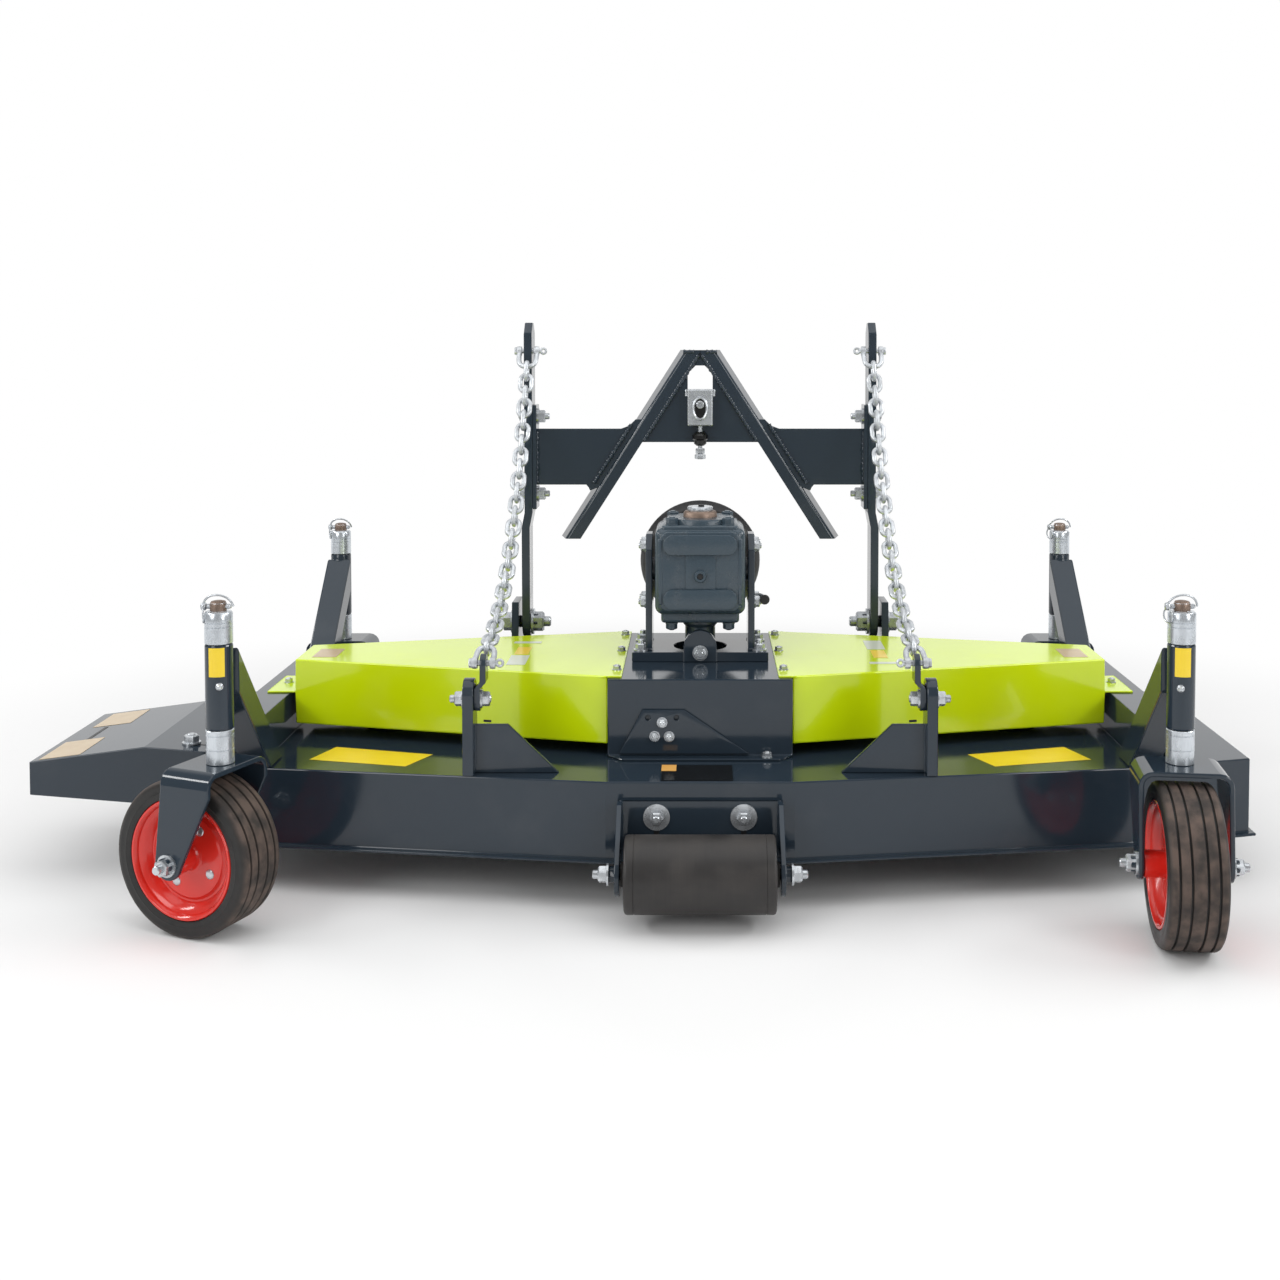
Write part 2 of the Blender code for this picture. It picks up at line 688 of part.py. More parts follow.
def blade():
    """A flat bar with two lifted trailing edges, on a round hub."""
    half = BLADE_WIDTH / 2
    tip = math.sqrt(BLADE_RADIUS ** 2 - half ** 2)
    bar = moved(outline_plate([(-tip, -half), (tip, -half), (tip, half), (-tip, half)], BLADE_THICK),
                z=BLADE_HEIGHT - BLADE_THICK / 2)
    lifts = []
    for _, side in SIDES:
        lift = block((0, -BLADE_THICK / 2, 0), (LIFT_LENGTH, BLADE_THICK / 2, LIFT_RISE))
        place(lift, turn_about("X", -LIFT_LEAN))
        moved(lift, tip - LIFT_LENGTH, half - BLADE_THICK / 2, BLADE_HEIGHT - BLADE_THICK / 4)
        if side < 0:
            place(lift, turn_about("Z", 180))
        lifts.append(lift)
    hub = rod(HUB_RADIUS, (0, 0, BLADE_HEIGHT - 1.5 * BLADE_THICK), (0, 0, HOUSING_BOTTOM - SEAT), 24)
    nut = rod(2 * BLADE_THICK, (0, 0, BLADE_HEIGHT - 2.75 * BLADE_THICK), (0, 0, BLADE_HEIGHT), 6)
    return union(bar, hub, nut, *lifts)


for spindle_name, spindle_x, spindle_y in SPINDLES:
    part(f"spindle_housing_{spindle_name}", spindle_housing(spindle_x, spindle_y), "gearbox_paint")
    part(f"blade_{spindle_name}", moved(blade(), spindle_x, spindle_y), "bare_steel",
         origin=(spindle_x, spindle_y, BLADE_HEIGHT))

# Casters
# name, side, post x, post y, swivel angle in degrees (0 trails towards -Y, as seen from above)
CASTERS = (
    ("front_left", -1, 0.748, -0.462, -112.0),
    ("front_right", 1, 0.748, -0.462, -7.0),
    ("rear_left", -1, 0.788, 0.500, 180.0),
    ("rear_right", 1, 0.788, 0.500, 180.0),
)
COLLAR_TOP = FORK_TOP + LOWER_COLLARS
TUBE_TOP = COLLAR_TOP + POST_TUBE
STEM_TOP = TUBE_TOP + UPPER_COLLARS + CAP
FORK_HALF = FORK_INNER / 2 + FORK_STEEL
FORK_FRONT = 0.057
FORK_REAR = 0.034


def caster_stem():
    """Pin and zinc collars, turned about the swivel axis."""
    lower = FORK_TOP + SEAT
    first = COLLAR_TOP - SEAT
    second = TUBE_TOP + SEAT
    profile = [(0, lower), (COLLAR_RADIUS, lower), (COLLAR_RADIUS, first), (POST_PIN_RADIUS, first),
               (POST_PIN_RADIUS, second), (COLLAR_RADIUS, second), (COLLAR_RADIUS, STEM_TOP - CAP),
               (COLLAR_RADIUS - 0.005, STEM_TOP - CAP + 0.003), (0.0115, STEM_TOP - CAP + 0.004),
               (0.0115, STEM_TOP), (0, STEM_TOP)]
    return turned(profile, 16, ring=False)


def caster_fork():
    """A plate bent over the wheel, with legs that taper to the axle, and the axle bolt."""
    bend = 0.022
    top_z = FORK_TOP
    outer = [(-FORK_HALF, WHEEL_RADIUS - 0.03)]
    outer += arc((-FORK_HALF + bend, top_z - bend), bend, 180, 90, 4)
    outer += arc((FORK_HALF - bend, top_z - bend), bend, 90, 0, 4)
    outer += [(FORK_HALF, WHEEL_RADIUS - 0.03)]
    inner_bend = bend - FORK_STEEL
    inner = [(FORK_HALF - FORK_STEEL, WHEEL_RADIUS - 0.03)]
    inner += arc((FORK_HALF - bend, top_z - bend), inner_bend, 0, 90, 4)
    inner += arc((-FORK_HALF + bend, top_z - bend), inner_bend, 90, 180, 4)
    inner += [(-FORK_HALF + FORK_STEEL, WHEEL_RADIUS - 0.03)]
    strap = upright_plate(outer + inner, 0.2, "xz", -TRAIL / 2)
    eye = 0.024
    side = [(FORK_REAR, top_z + 0.01), (-FORK_FRONT, top_z + 0.01), (-FORK_FRONT, top_z - 0.03)]
    side += [(-TRAIL - eye, WHEEL_RADIUS)]
    side += arc((-TRAIL, WHEEL_RADIUS), eye, 180, 350, 10)
    side += [(FORK_REAR, top_z - 0.035)]
    mask = upright_plate(side, 2 * FORK_HALF + 0.02, "yz", 0)
    bolt = rod(AXLE_RADIUS, (-FORK_HALF - 0.012, -TRAIL, WHEEL_RADIUS), (FORK_HALF + 0.012, -TRAIL, WHEEL_RADIUS), 16)
    heads = [rod(0.014, (side_x * (FORK_HALF - 0.002), -TRAIL, WHEEL_RADIUS),
                 (side_x * (FORK_HALF + 0.010), -TRAIL, WHEEL_RADIUS), 6) for _, side_x in SIDES]
    return union(keep_inside(strap, mask), bolt, *heads)


WHEEL_STEPS = 20


def wheel_turned(profile):
    ring = turned(profile, WHEEL_STEPS)
    place(ring, turn_about("Y", 90))
    return moved(ring, 0, -TRAIL, WHEEL_RADIUS)


def rim():
    half = WHEEL_WIDTH / 2 - 0.004
    barrel = RIM_RADIUS - 0.005
    hub = 0.021
    hub_half = FORK_INNER / 2 - RUN
    web = 0.003
    bore = AXLE_RADIUS + RUN / 2
    profile = [(bore, -hub_half), (hub, -hub_half), (hub, -web), (barrel - 0.012, -web), (barrel - 0.004, -half),
               (RIM_RADIUS, -half), (RIM_RADIUS, half), (barrel - 0.004, half), (barrel - 0.012, web),
               (hub, web), (hub, hub_half), (bore, hub_half)]
    return wheel_turned(profile)


def tyre():
    half = WHEEL_WIDTH / 2
    seat = RIM_RADIUS + SEAT
    shoulder = 0.009
    profile = [(seat, -half + 0.002), (WHEEL_RADIUS - shoulder, -half), (WHEEL_RADIUS, -half + shoulder),
               (WHEEL_RADIUS, half - shoulder), (WHEEL_RADIUS - shoulder, half), (seat, half - 0.002)]
    return wheel_turned(profile)


ARM_HALF_CUT = ARM_TUBE * math.sqrt(2) / 2
ARM_INTO_POST = 0.004
ARM_DROP = 0.010


def arm_foot(post_y):
    """Where the upper side of an arm meets the deck, and +1 or -1 for the way from the post to the deck."""
    foot = DECK_TOP + SEAT
    toward_deck = -1 if post_y > 0 else 1
    high_y = post_y + toward_deck * (POST_TUBE_RADIUS - ARM_INTO_POST)
    return high_y + toward_deck * (TUBE_TOP - ARM_DROP - foot), toward_deck


def arm(post_y):
    """A square tube at 45 degrees from the deck up to the swivel tube of a post."""
    foot = DECK_TOP + SEAT
    foot_y, toward_deck = arm_foot(post_y)
    high_y = post_y + toward_deck * (POST_TUBE_RADIUS - ARM_INTO_POST)
    high = TUBE_TOP - ARM_DROP
    outline = [(foot_y - toward_deck * 2 * ARM_HALF_CUT, foot), (foot_y, foot),
               (high_y, high), (high_y, high - 2 * ARM_HALF_CUT)]
    tube = upright_plate(outline, ARM_TUBE, "yz", 0)
    post = rod(POST_TUBE_RADIUS, (0, post_y, COLLAR_TOP), (0, post_y, TUBE_TOP), 32)
    bore = rod(POST_PIN_RADIUS + RUN, (0, post_y, COLLAR_TOP - 0.01), (0, post_y, TUBE_TOP + 0.01), 24)
    return cut(union(tube, post), bore)


for caster_name, side, post_x, post_y, angle in CASTERS:
    x = side * post_x
    part(f"arm_{caster_name}", moved(arm(post_y), x), "deck_paint")
    swivel = bpy.data.objects.new(f"swivel_{caster_name}", None)
    swivel.location = (x, post_y, 0)
    swivel.rotation_euler = (0, 0, math.radians(angle))
    swivel.parent = root
    PARTS.objects.link(swivel)
    part(f"caster_stem_{caster_name}", caster_stem(), "zinc", parent=swivel)
    part(f"caster_fork_{caster_name}", caster_fork(), "deck_paint", parent=swivel)
    axle = (0, -TRAIL, WHEEL_RADIUS)
    part(f"rim_{caster_name}", rim(), "rim_red", origin=axle, parent=swivel)
    part(f"tyre_{caster_name}", tyre(), "tyre_rubber", origin=axle, parent=swivel)

# Side rails between the arms, which carry the covers' outer tabs


def side_rail():
    foot = DECK_TOP + SEAT
    front, rear = (arm_foot(post_y)[0] for post_y in (CASTERS[0][3], CASTERS[2][3]))
    front += SEAT * 2
    rear -= SEAT * 2
    rise = RAIL_TOP - foot
    outline = [(front, foot), (rear, foot), (rear + rise, RAIL_TOP), (front - rise, RAIL_TOP)]
    body = upright_plate(outline, RAIL_OUTER_X - RAIL_INNER_X, "yz", (RAIL_OUTER_X + RAIL_INNER_X) / 2)
    hollow = block((RAIL_INNER_X + STEEL, front - rise - STEEL, foot - STEEL),
                   (RAIL_OUTER_X - STEEL, rear + rise + STEEL, RAIL_TOP - STEEL))
    return cut(body, hollow)


rail = side_rail()
part("side_rail_left", mirrored(rail), "deck_paint")
part("side_rail_right", rail, "deck_paint")

# Front roller and its bracket
BRACKET_HALF = BRACKET_INNER / 2 + BRACKET_STEEL


def roller_bracket():
    back_y = FRONT_Y - SEAT
    back = block((-BRACKET_HALF + BRACKET_STEEL / 2, back_y - BRACKET_STEEL, BRACKET_BOTTOM),
                 (BRACKET_HALF - BRACKET_STEEL / 2, back_y, BRACKET_TOP))
    cheeks = []
    eye = 0.034
    for _, side in SIDES:
        inside = back_y - BRACKET_STEEL / 4
        outline = [(inside, BRACKET_TOP - 0.001), (back_y - 0.030, BRACKET_TOP - 0.001),
                   (ROLLER_Y - eye * 0.75, ROLLER_HEIGHT + 0.024)]
        outline += arc((ROLLER_Y, ROLLER_HEIGHT), eye, 150, 300, 8)
        outline += [(inside, BRACKET_BOTTOM + 0.001)]
        cheeks.append(upright_plate(outline, BRACKET_STEEL, "yz", side * (BRACKET_HALF - BRACKET_STEEL / 2)))
    bolt = rod(AXLE_RADIUS, (-BRACKET_HALF - 0.012, ROLLER_Y, ROLLER_HEIGHT),
               (BRACKET_HALF + 0.012, ROLLER_Y, ROLLER_HEIGHT), 16)
    heads = [rod(0.013, (side * (BRACKET_HALF - 0.002), ROLLER_Y, ROLLER_HEIGHT),
                 (side * (BRACKET_HALF + 0.010), ROLLER_Y, ROLLER_HEIGHT), 6) for _, side in SIDES]
    return union(back, *cheeks, bolt, *heads)


part("roller_bracket", roller_bracket(), "deck_paint")


def front_roller():
    half = ROLLER_LENGTH / 2
    hub = BRACKET_INNER / 2 - RUN
    bore = AXLE_RADIUS + RUN / 2
    round_edge = 0.006
    profile = [(bore, -hub), (0.020, -hub), (0.020, -half), (ROLLER_RADIUS - round_edge, -half),
               (ROLLER_RADIUS, -half + round_edge), (ROLLER_RADIUS, half - round_edge),
               (ROLLER_RADIUS - round_edge, half), (0.020, half), (0.020, hub), (bore, hub)]
    ring = turned(profile, 20)
    place(ring, turn_about("Y", 90))
    return moved(ring, 0, ROLLER_Y, ROLLER_HEIGHT)


part("front_roller", front_roller(), "roller_rubber", origin=(0, ROLLER_Y, ROLLER_HEIGHT))

# Front chain lugs, with a gusset towards the middle
LUG_TOP = 0.367
LUG_DEPTH = 0.050
LUG_BAR = 0.018
GUSSET_TOP = LUG_TOP - 0.077
GUSSET_FLAT = 0.055
GUSSET_REACH = 0.140
GUSSET_THICK = 0.008
LINK_PLATE = 0.010
LINK_PLATE_DEPTH = 0.034
SHACKLE_HEIGHT = LUG_TOP + 0.025
SHACKLE_X = 0.360
SHACKLE_WIRE = 0.010
LINK_EYE = 0.016
JOGGLE_TOP = SHACKLE_HEIGHT - 0.030
JOGGLE_BOTTOM = SHACKLE_HEIGHT - 0.040
LUG_BOLT_HEIGHT = LUG_TOP - 0.035
LINK_FOOT = LUG_BOLT_HEIGHT - 0.020


def chain_lug():
    foot = DECK_TOP + SEAT
    half = LUG_DEPTH / 2
    outline = [(FRONT_LUG_Y - half, foot), (FRONT_LUG_Y + half, foot)]
    outline += arc((FRONT_LUG_Y, LUG_TOP - half), half, 0, 180, 10)
    bar = upright_plate(outline, LUG_BAR, "yz", FRONT_LUG_X)
    inner = FRONT_LUG_X - LUG_BAR / 2
    shape = [(inner + 0.002, foot), (inner + 0.002, GUSSET_TOP), (inner - GUSSET_FLAT, GUSSET_TOP),
             (inner - GUSSET_REACH, foot)]
    gusset = upright_plate(shape, GUSSET_THICK, "xz", FRONT_LUG_Y)
    return union(bar, gusset)


def link_plate():
    """A joggled flat bar on the lug's bolt, up to the lower shackle."""
    lug_face = FRONT_LUG_X - LUG_BAR / 2 - SEAT
    half = LINK_PLATE / 2
    low_x = lug_face - half
    high_x = SHACKLE_X
    end = SHACKLE_HEIGHT + LINK_EYE
    outline = [(low_x + half, LINK_FOOT), (low_x + half, JOGGLE_BOTTOM), (high_x + half, JOGGLE_TOP),
               (high_x + half, end), (high_x - half, end), (high_x - half, JOGGLE_TOP),
               (low_x - half, JOGGLE_BOTTOM), (low_x - half, LINK_FOOT)]
    plate = upright_plate(outline, LINK_PLATE_DEPTH, "xz", FRONT_LUG_Y)
    wide = LINK_PLATE_DEPTH / 2
    side = arc((FRONT_LUG_Y, end - wide), wide, 0, 180, 8) + arc((FRONT_LUG_Y, LINK_FOOT + wide), wide, 180, 360, 8)
    plate = keep_inside(plate, upright_plate(side, 0.1, "yz", SHACKLE_X))
    hole = rod(SHACKLE_WIRE / 2 + RUN, (high_x - 0.02, FRONT_LUG_Y, SHACKLE_HEIGHT),
               (high_x + 0.02, FRONT_LUG_Y, SHACKLE_HEIGHT), 16)
    return cut(plate, hole)


for side_name, side in SIDES:
    for node, made in (("chain_lug", chain_lug()), ("link_plate", link_plate())):
        part(f"{node}_{side_name}", made if side > 0 else mirrored(made), "deck_paint")

# Coupling frame on the rear pivots
FOOT_X = UPRIGHT_X + UPRIGHT_FOOT_SHIFT
LUG_X = FOOT_X + UPRIGHT_THICK / 2 + LUG_GAP + LUG_THICK / 2
TOP_SHACKLE_HEIGHT = UPRIGHT_TOP - 0.057
SHACKLE_PIN_Y = PIVOT_Y - UPRIGHT_DEPTH / 2 + 0.010


HITCH_LUG_TOP = PIVOT_HEIGHT + 0.045
HITCH_LUG_FOOT_HALF = 0.055
HITCH_LUG_TOP_HALF = 0.035


def hitch_lug():
    foot = DECK_TOP + SEAT
    outline = [(PIVOT_Y - HITCH_LUG_FOOT_HALF, foot), (PIVOT_Y + HITCH_LUG_FOOT_HALF, foot),
               (PIVOT_Y + HITCH_LUG_TOP_HALF, HITCH_LUG_TOP), (PIVOT_Y - HITCH_LUG_TOP_HALF, HITCH_LUG_TOP)]
    plate = upright_plate(outline, LUG_THICK, "yz", LUG_X)
    inner = FOOT_X - UPRIGHT_THICK / 2 - 0.014
    pin = rod(PIVOT_RADIUS, (LUG_X, PIVOT_Y, PIVOT_HEIGHT), (inner, PIVOT_Y, PIVOT_HEIGHT), 24)
    head = rod(0.019, (inner, PIVOT_Y, PIVOT_HEIGHT), (inner + 0.014 - RUN, PIVOT_Y, PIVOT_HEIGHT), 6)
    return union(plate, pin, head)


def upright():
    """A flat bar on edge, set out a little at its foot, bored for the pivot and the shackle pin."""
    half = UPRIGHT_THICK / 2
    foot = PIVOT_HEIGHT - UPRIGHT_DEPTH / 2
    joggle = 0.030
    outline = [(FOOT_X + half, foot), (FOOT_X + half, UPRIGHT_BEND - joggle), (UPRIGHT_X + half, UPRIGHT_BEND),
               (UPRIGHT_X + half, UPRIGHT_TOP), (UPRIGHT_X - half, UPRIGHT_TOP), (UPRIGHT_X - half, UPRIGHT_BEND),
               (FOOT_X - half, UPRIGHT_BEND - joggle), (FOOT_X - half, foot)]
    bar = upright_plate(outline, UPRIGHT_DEPTH, "xz", PIVOT_Y)
    wide = UPRIGHT_DEPTH / 2
    side = arc((PIVOT_Y, PIVOT_HEIGHT), wide, 180, 360, 12)
    side += [(PIVOT_Y + wide, UPRIGHT_TOP - 0.020), (PIVOT_Y + wide - 0.020, UPRIGHT_TOP),
             (PIVOT_Y - wide + 0.020, UPRIGHT_TOP), (PIVOT_Y - wide, UPRIGHT_TOP - 0.020)]
    mask = upright_plate(side, 0.1, "yz", UPRIGHT_X)
    bar = keep_inside(bar, mask)
    pivot = rod(PIVOT_RADIUS + RUN, (UPRIGHT_X - 0.05, PIVOT_Y, PIVOT_HEIGHT),
                (UPRIGHT_X + 0.05, PIVOT_Y, PIVOT_HEIGHT), 24)
    pin = rod(SHACKLE_WIRE / 2 + RUN, (UPRIGHT_X - 0.05, SHACKLE_PIN_Y, TOP_SHACKLE_HEIGHT),
              (UPRIGHT_X + 0.05, SHACKLE_PIN_Y, TOP_SHACKLE_HEIGHT), 16)
    return cut(bar, pivot, pin)


for side_name, side in SIDES:
    lug = hitch_lug()
    part(f"hitch_lug_{side_name}", lug if side > 0 else mirrored(lug), "deck_paint")
    bar = upright()
    part(f"upright_{side_name}", bar if side > 0 else mirrored(bar), "deck_paint",
         origin=(0, PIVOT_Y, PIVOT_HEIGHT))

# Coupling triangle: two legs of angle section, a web plate and a cross plate to each upright
APEX_HEIGHT = 0.907
APEX_HALF = 0.040
LEG_FOOT_X = 0.283
LEG_FOOT_HEIGHT = 0.527
LEG_WIDTH = 0.042
LEG_DEPTH = 0.050
LEG_SPLAY = 0.012
LEG_STEEL = 0.008
WEB_BOTTOM = 0.722
CROSS_TOP = 0.749
CROSS_BOTTOM = 0.636
END_PLATE_TOP = 0.797
END_PLATE_BOTTOM = 0.587
END_PLATE = 0.008
WEB = 0.010
WINDOW_HALF = 0.025
WINDOW_TOP = 0.876
WINDOW_CORNER = 0.016
WINDOW_BOTTOM = 0.770
LEG_FRONT = PIVOT_Y - LEG_DEPTH / 2
LEG_SLOPE = (LEG_FOOT_X - APEX_HALF) / (LEG_FOOT_HEIGHT - APEX_HEIGHT)


def inside_leg(height):
    """x of a line up the middle of the right leg's front flange, where plates end."""
    return LEG_FOOT_X + LEG_SLOPE * (height - LEG_FOOT_HEIGHT) - LEG_WIDTH / 2


def triangle_leg():
    """The right leg: an angle section, the same at every height, that leans in towards the apex."""
    front, rear = LEG_FRONT, LEG_FRONT + LEG_DEPTH
    section = [(0, rear), (-LEG_SPLAY, front), (-LEG_WIDTH, front), (-LEG_WIDTH, front + LEG_STEEL),
               (-LEG_SPLAY - LEG_STEEL * 0.9, front + LEG_STEEL), (-LEG_STEEL * 1.1, rear)]
    leg = outline_plate(section, APEX_HEIGHT - LEG_FOOT_HEIGHT)
    lean = Matrix.Identity(4)
    lean[0][2] = LEG_SLOPE
    return moved(place(leg, lean), LEG_FOOT_X, 0, LEG_FOOT_HEIGHT)


def coupling_triangle():
    end_x = UPRIGHT_X - UPRIGHT_THICK / 2 - SEAT
    web_y = LEG_FRONT + LEG_STEEL / 2
    web_top = APEX_HEIGHT - 0.001
    web_outline = [(-inside_leg(web_top), web_top), (inside_leg(web_top), web_top),
                   (inside_leg(WEB_BOTTOM), WEB_BOTTOM), (-inside_leg(WEB_BOTTOM), WEB_BOTTOM)]
    window = [(-WINDOW_HALF, WINDOW_BOTTOM), (WINDOW_HALF, WINDOW_BOTTOM), (WINDOW_HALF, WINDOW_TOP - WINDOW_CORNER),
              (WINDOW_HALF - WINDOW_CORNER, WINDOW_TOP), (WINDOW_CORNER - WINDOW_HALF, WINDOW_TOP),
              (-WINDOW_HALF, WINDOW_TOP - WINDOW_CORNER)]
    web = upright_plate(web_outline, WEB, "xz", web_y + WEB / 2)
    opening = upright_plate(window, 0.1, "xz", PIVOT_Y)
    leg = triangle_leg()
    pieces = [mirrored(leg), web]
    for _, side in SIDES:
        far = end_x - END_PLATE / 2
        cross = [(side * inside_leg(CROSS_BOTTOM), CROSS_BOTTOM), (side * far, CROSS_BOTTOM),
                 (side * far, CROSS_TOP), (side * inside_leg(CROSS_TOP), CROSS_TOP)]
        pieces.append(upright_plate(cross if side > 0 else cross[::-1], WEB, "xz", web_y + WEB / 2))
        low, high = sorted((side * end_x, side * (end_x - END_PLATE)))
        pieces.append(block((low, LEG_FRONT, END_PLATE_BOTTOM), (high, LEG_FRONT + LEG_DEPTH, END_PLATE_TOP)))
    return cut(union(leg, *pieces), opening)


part("coupling_triangle", coupling_triangle(), "deck_paint", origin=(0, PIVOT_Y, PIVOT_HEIGHT))


LOCK_TOP = 0.829
LOCK_FRONT = 0.022
LOCK_DEPTH = 0.044
LOCK_BOSS = 0.013
LOCK_BOLT = 0.007
LOCK_BOLT_END = 0.686


def lock_block():
    half = WINDOW_HALF - SEAT
    front = LEG_FRONT - LOCK_FRONT
    low = (-half, front, WINDOW_BOTTOM + SEAT)
    body = bevelled(block(low, (half, front + LOCK_DEPTH, LOCK_TOP)), 0.003)
    bolt_y = LEG_FRONT - LOCK_BOSS - SEAT
    boss = rod(LOCK_BOSS, (0, bolt_y, WINDOW_BOTTOM + 0.010), (0, bolt_y, WEB_BOTTOM + 0.010), 12)
    bolt = rod(LOCK_BOLT, (0, bolt_y, WEB_BOTTOM + 0.020), (0, bolt_y, LOCK_BOLT_END), 12)
    return union(body, boss, bolt)


part("lock_block", lock_block(), "zinc", origin=(0, PIVOT_Y, PIVOT_HEIGHT))

# Chains: links along a hanging curve, with a bow shackle at each end
TOP_PIN = Vector((UPRIGHT_X, SHACKLE_PIN_Y, TOP_SHACKLE_HEIGHT))
LOW_PIN = Vector((SHACKLE_X, FRONT_LUG_Y, SHACKLE_HEIGHT))
CHAIN_TOP = TOP_PIN + Vector((0, -0.024, -0.027))
CHAIN_LOW = LOW_PIN + Vector((0, 0.034, 0.016))
CHAIN_BEND = Vector(((UPRIGHT_X + SHACKLE_X) / 2, 0.055, 0.460))


# A link's wire is square, with the area of the round one
LINK_BAR = LINK_WIRE * math.sqrt(math.pi) / 2
LINK_BITE = 0.0008
LINK_END_SHARE = 0.70


def chain_point(along):
    rest = 1 - along
    return CHAIN_TOP * rest ** 2 + CHAIN_BEND * (2 * rest * along) + CHAIN_LOW * along ** 2


def chain_stations():
    """Link middles at even steps along the hanging curve, with the way the chain runs there."""
    count = 400
    points = [chain_point(step / count) for step in range(count + 1)]
    lengths = [0.0]
    for first, second in zip(points, points[1:]):
        lengths.append(lengths[-1] + (second - first).length)
    step = lengths[-1] / LINKS
    stations = []
    index = 0
    for link in range(LINKS):
        want = step * (link + 0.5)
        while lengths[index + 1] < want:
            index += 1
        share = (want - lengths[index]) / (lengths[index + 1] - lengths[index])
        stations.append((points[index].lerp(points[index + 1], share),
                         (points[index + 1] - points[index]).normalized()))
    return stations, step


def hexagon(half_wide, half_long):
    """A six-sided outline, long in y, with a flat end at each end."""
    half_end = half_wide * LINK_END_SHARE
    return [(half_wide, 0), (half_end, half_long), (-half_end, half_long),
            (-half_wide, 0), (-half_end, -half_long), (half_end, -half_long)]


def one_link(step):
    """A link, long in Y and flat in Z, that just bites into its neighbours so that the chain is one body."""
    half_long = (step - LINK_BITE) / 2
    half_wide = LINK_WIDTH / 2
    bar = moved(outline_plate(hexagon(half_wide, half_long + LINK_BAR), LINK_BAR), z=-LINK_BAR / 2)
    hole = moved(outline_plate(hexagon(half_wide - LINK_BAR, half_long), 3 * LINK_BAR), z=-1.5 * LINK_BAR)
    return without_spare_points(cut(bar, hole))


def join_meshes(made):
    bm = bmesh.new()
    for piece in made:
        bm.from_mesh(piece.data)
        bpy.data.objects.remove(piece, do_unlink=True)
    return from_bmesh(bm)


def bow_shackle(pin, chain_end, half):
    """A bow from its cross pin round the chain's end: pin middle, end of the chain, half width inside."""
    toward = (chain_end - pin).normalized()
    across = Vector((1, 0, 0))
    inside = (chain_end - pin).length
    wide = half + LINK_BAR
    outline = [(wide, 0), (wide, inside - half * 0.4), (half * 0.8, inside + LINK_BAR),
               (-half * 0.8, inside + LINK_BAR), (-wide, inside - half * 0.4), (-wide, 0),
               (-half, 0), (-half, inside - half * 0.6), (-half * 0.5, inside),
               (half * 0.5, inside), (half, inside - half * 0.6), (half, 0)]
    bow = moved(outline_plate(outline, LINK_BAR), z=-LINK_BAR / 2)
    turn = Matrix((across, toward, across.cross(toward))).transposed()
    place(bow, Matrix.Translation(pin) @ turn.to_4x4())
    reach = wide + LINK_BAR
    pin_rod = rod(SHACKLE_WIRE / 2, pin - across * reach, pin + across * reach, 8)
    return union(bow, pin_rod)


def chain():
    stations, step = chain_stations()
    groups = ([], [])
    pattern = one_link(step)
    for index, (middle, way) in enumerate(stations):
        across = (Vector((1, 0, 0)) - way * way.x).normalized()
        edge_on = index % 2 == 0
        turn = Matrix((across, way, across.cross(way))).transposed().to_4x4()
        link = bpy.data.objects.new("link", pattern.data.copy())
        CUTTERS.objects.link(link)
        place(link, Matrix.Translation(middle) @ turn @ turn_about("Y", 90 if edge_on else 0))
        groups[index % 2].append(link)
    even = join_meshes(groups[0])
    odd = join_meshes(groups[1])
    top = bow_shackle(TOP_PIN, CHAIN_TOP, 0.0125)
    low = bow_shackle(LOW_PIN, CHAIN_LOW, 0.0100)
    return union(even, odd, top, low)


made_chain = chain()
part("chain_left", mirrored(made_chain), "zinc")
part("chain_right", made_chain, "zinc")

for spare in list(CUTTERS.objects):
    spare.hide_render = True
    spare.display_type = "WIRE"
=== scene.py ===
# Looks of the front rotary mower: finishes, fasteners, welds, chains, wheels and blank stickers round the
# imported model. Metres, +Z up, +Y towards the tractor. Places are laid out from the deck's middle at ground
# level, the way the machine is drawn, and at() turns them into the frame's own coordinates.

import json
import math

import bmesh
import bpy
from mathutils import Matrix, Vector


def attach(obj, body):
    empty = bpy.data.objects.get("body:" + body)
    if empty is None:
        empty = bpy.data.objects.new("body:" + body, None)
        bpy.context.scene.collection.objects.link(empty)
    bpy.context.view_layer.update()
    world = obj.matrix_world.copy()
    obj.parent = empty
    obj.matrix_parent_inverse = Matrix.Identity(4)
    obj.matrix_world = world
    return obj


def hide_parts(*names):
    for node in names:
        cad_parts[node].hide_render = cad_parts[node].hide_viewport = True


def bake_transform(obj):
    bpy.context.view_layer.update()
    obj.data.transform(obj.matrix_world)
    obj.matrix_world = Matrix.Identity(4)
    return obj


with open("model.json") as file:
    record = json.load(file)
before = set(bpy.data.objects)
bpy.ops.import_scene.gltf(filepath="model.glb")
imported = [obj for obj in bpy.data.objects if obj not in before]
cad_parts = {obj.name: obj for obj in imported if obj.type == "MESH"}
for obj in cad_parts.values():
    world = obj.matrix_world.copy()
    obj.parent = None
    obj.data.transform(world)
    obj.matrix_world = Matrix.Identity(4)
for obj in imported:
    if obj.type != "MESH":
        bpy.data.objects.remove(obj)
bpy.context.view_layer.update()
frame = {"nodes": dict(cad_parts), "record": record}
BODY_OF = {node: body for body, nodes in frame["record"]["behaviour"]["bodies"].items() for node in nodes}
SLOT_OF = {part["node"]: part["material_slot"] for part in frame["record"]["subparts"]}

